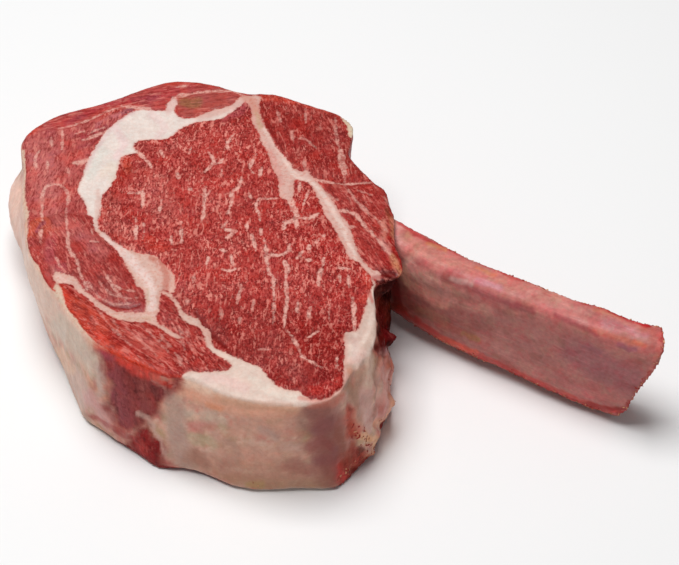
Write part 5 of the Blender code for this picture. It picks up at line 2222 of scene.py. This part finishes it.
@dataclass
class Scraps:
    """Small scraps scattered over another piece, thickest where its "scraps" value is high.

    Attributes:
        name: The new piece's name.
        carrier: The piece that they lie on.
        node: The solid whose box they stay in.
        per_area: How many to a square centimetre where that value is 1.
        small: The radius of the smallest, in millimetres.
        large: The radius of the largest.
        seed: Which scatter it is.
    """

    name: str
    carrier: bpy.types.Object
    node: str
    per_area: float
    small: float
    large: float
    seed: int = 7

    def build(self, material: bpy.types.Material) -> bpy.types.Object:
        """Scatters the scraps and keeps them as a plain mesh.

        Args:
            material: Their finish.

        Returns:
            The new object.
        """
        carrier = self.carrier.data.copy()
        piece = bpy.data.objects.new(self.name, carrier)
        bpy.context.scene.collection.objects.link(piece)
        modifier = piece.modifiers.new("scatter", "NODES")
        modifier.node_group = self._tree()
        values = {
            "Density": self.per_area * 1e4,
            "Small": self.small * MM,
            "Large": self.large * MM,
            "Seed": self.seed,
            "Material": material,
        }
        for item in modifier.node_group.interface.items_tree:
            if item.in_out == "INPUT" and item.name in values:
                modifier[item.identifier] = values[item.name]
        fine = plain_mesh_of(piece)
        piece.modifiers.clear()
        piece.data = fine
        fine.name = self.name
        bpy.data.meshes.remove(carrier)
        put_points(fine, kept_inside(points_of(fine), self.node))
        return piece

    @staticmethod
    def _tree() -> bpy.types.NodeTree:
        """The node tree: scatter by the painted value, turn, size, realise and roughen."""
        tree = bpy.data.node_groups.new("scraps", "GeometryNodeTree")
        for label, kind in (
            ("Geometry", "Geometry"), ("Density", "Float"), ("Small", "Float"),
            ("Large", "Float"), ("Seed", "Int"), ("Material", "Material"),
        ):
            tree.interface.new_socket(label, in_out="INPUT", socket_type=f"NodeSocket{kind}")
        tree.interface.new_socket("Geometry", in_out="OUTPUT", socket_type="NodeSocketGeometry")
        graph = Graph(tree)
        given, made = graph.add("NodeGroupInput"), graph.add("NodeGroupOutput")
        share = graph.add("GeometryNodeInputNamedAttribute", {"Name": "scraps"}, data_type="FLOAT")
        scatter = graph.add(
            "GeometryNodeDistributePointsOnFaces",
            {
                "Mesh": given.outputs["Geometry"],
                "Density": graph.times(share.outputs[0], given.outputs["Density"]),
                "Seed": given.outputs["Seed"],
            },
        )
        scrap = graph.add("GeometryNodeMeshIcoSphere", {"Radius": 1.0, "Subdivisions": 2})
        turn = graph.add(
            "FunctionNodeRandomValue",
            {0: (-0.5, -0.5, -3.1), 1: (0.5, 0.5, 3.1)},
            data_type="FLOAT_VECTOR",
        )
        lean = graph.add(
            "FunctionNodeRotateRotation",
            {"Rotation": scatter.outputs["Rotation"], "Rotate By": turn.outputs[0]},
            rotation_space="LOCAL",
        )
        size = graph.add(
            "FunctionNodeRandomValue",
            {2: given.outputs["Small"], 3: given.outputs["Large"]},
            data_type="FLOAT",
        )
        flat = graph.add(
            "FunctionNodeRandomValue",
            {0: (0.8, 0.5, 0.3), 1: (1.9, 1.0, 0.5)},
            data_type="FLOAT_VECTOR",
        )
        scale = graph.scaled(flat.outputs[0], size.outputs[1])
        instances = graph.add(
            "GeometryNodeInstanceOnPoints",
            {
                "Points": scatter.outputs["Points"],
                "Instance": scrap.outputs["Mesh"],
                "Rotation": lean.outputs[0],
                "Scale": scale,
            },
        )
        shade = graph.add("FunctionNodeRandomValue", {2: 0.0, 3: 1.0, "Seed": 5}, data_type="FLOAT")
        kept = graph.add(
            "GeometryNodeStoreNamedAttribute",
            {"Geometry": instances.outputs[0], "Name": "shade", "Value": shade.outputs[1]},
            data_type="FLOAT", domain="INSTANCE",
        )
        real = graph.add("GeometryNodeRealizeInstances", {"Geometry": kept.outputs[0]})
        rough = graph.add("ShaderNodeTexNoise", {"Scale": 1.1 / MM, "Detail": 1.0})
        centred = graph.add(
            "ShaderNodeVectorMath", {0: rough.outputs["Color"], 1: (0.5, 0.5, 0.5)},
            operation="SUBTRACT",
        )
        shift = graph.scaled(centred.outputs[0], 0.9 * MM)
        bent = graph.add(
            "GeometryNodeSetPosition", {"Geometry": real.outputs[0], "Offset": shift}
        )
        smooth = graph.add("GeometryNodeSetShadeSmooth", {"Geometry": bent.outputs[0]})
        painted = graph.add(
            "GeometryNodeSetMaterial",
            {"Geometry": smooth.outputs[0], "Material": given.outputs["Material"]},
        )
        graph.feed(made.inputs["Geometry"], painted.outputs[0])
        return tree


# ---------------------------------------------------------------- the studio


@dataclass
class Studio:
    """Plain pale floor and soft light from above.

    Attributes:
        floor_side: The floor's width, in metres.
        floor_grey: Its lightness.
        key_power: Watts of the large light above.
        key_side: That light's width, in metres.
        key_place: Where it hangs.
        sky: Strength of the even light from all round.
    """

    floor_side: float = 8.0
    floor_grey: float = 0.9
    key_power: float = 14.6
    key_side: float = 0.7
    key_place: tuple[float, float, float] = (-0.2, 0.04, 1.2)
    sky: float = 0.185

    def build(self) -> None:
        """Adds the floor, the light and the sky."""
        half = self.floor_side / 2
        corners = [(-half, -half, 0), (half, -half, 0), (half, half, 0), (-half, half, 0)]
        mesh = bpy.data.meshes.new("floor")
        mesh.from_pydata(corners, [], [(0, 1, 2, 3)])
        floor = bpy.data.objects.new("floor", mesh)
        bpy.context.scene.collection.objects.link(floor)
        material, _, shader = new_material("pale_floor")
        shader.inputs["Base Color"].default_value = (*(self.floor_grey,) * 3, 1.0)
        shader.inputs["Roughness"].default_value = 0.8
        shader.inputs["Specular IOR Level"].default_value = 0.2
        mesh.materials.append(material)

        lamp = bpy.data.lights.new("key", "AREA")
        lamp.shape = "SQUARE"
        lamp.size = self.key_side
        lamp.energy = self.key_power
        key = bpy.data.objects.new("key", lamp)
        key.location = self.key_place
        back, left = (np.arctan2(away, self.key_place[2]) for away in self.key_place[1::-1])
        key.rotation_euler = (-float(back), float(left), 0.0)
        bpy.context.scene.collection.objects.link(key)

        world = bpy.data.worlds.new("studio_sky")
        world.use_nodes = True
        sky = world.node_tree.nodes["Background"]
        sky.inputs["Color"].default_value = (1.0, 1.0, 1.0, 1.0)
        sky.inputs["Strength"].default_value = self.sky
        bpy.context.scene.world = world
        bpy.context.scene.view_settings.view_transform = "Standard"


# ---------------------------------------------------------------- all together


def add_to_object(piece: bpy.types.Object, node: str | None = None) -> None:
    """Makes a piece part of the steak.

    Args:
        piece: The finished piece.
        node: The solid that it stands for, if there is one.
    """
    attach(piece, "root")
    if node:
        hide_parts(node)
    log.info("%s: %d faces", piece.name, len(piece.data.polygons))


def main() -> None:
    """Builds the studio and the dressed steak."""
    logging.basicConfig(level=logging.INFO, format="%(name)s: %(message)s")
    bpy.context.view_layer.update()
    camera = PhotoCamera()
    camera.build()
    Studio().build()
    effects = SharedEffects()

    slab = MeatSlab(camera).build()
    slab.data.materials.append(LeanAndFat().build(effects))
    add_to_object(slab, "meat")

    rib = RibBone(camera).build()
    rib.data.materials.append(BoneMembrane().build(effects))
    add_to_object(rib, "rib_bone")

    loose = LooseScraps().build(effects)
    saw_scraps = Scraps("saw_scraps", rib, "rib_bone", 60.0, 0.16, 0.46).build(loose)
    add_to_object(saw_scraps)
    crumbs = Scraps("meat_crumbs", slab, "meat", 46.0, 0.2, 0.52, seed=11).build(loose)
    add_to_object(crumbs)


if __name__ == "__main__":
    main()
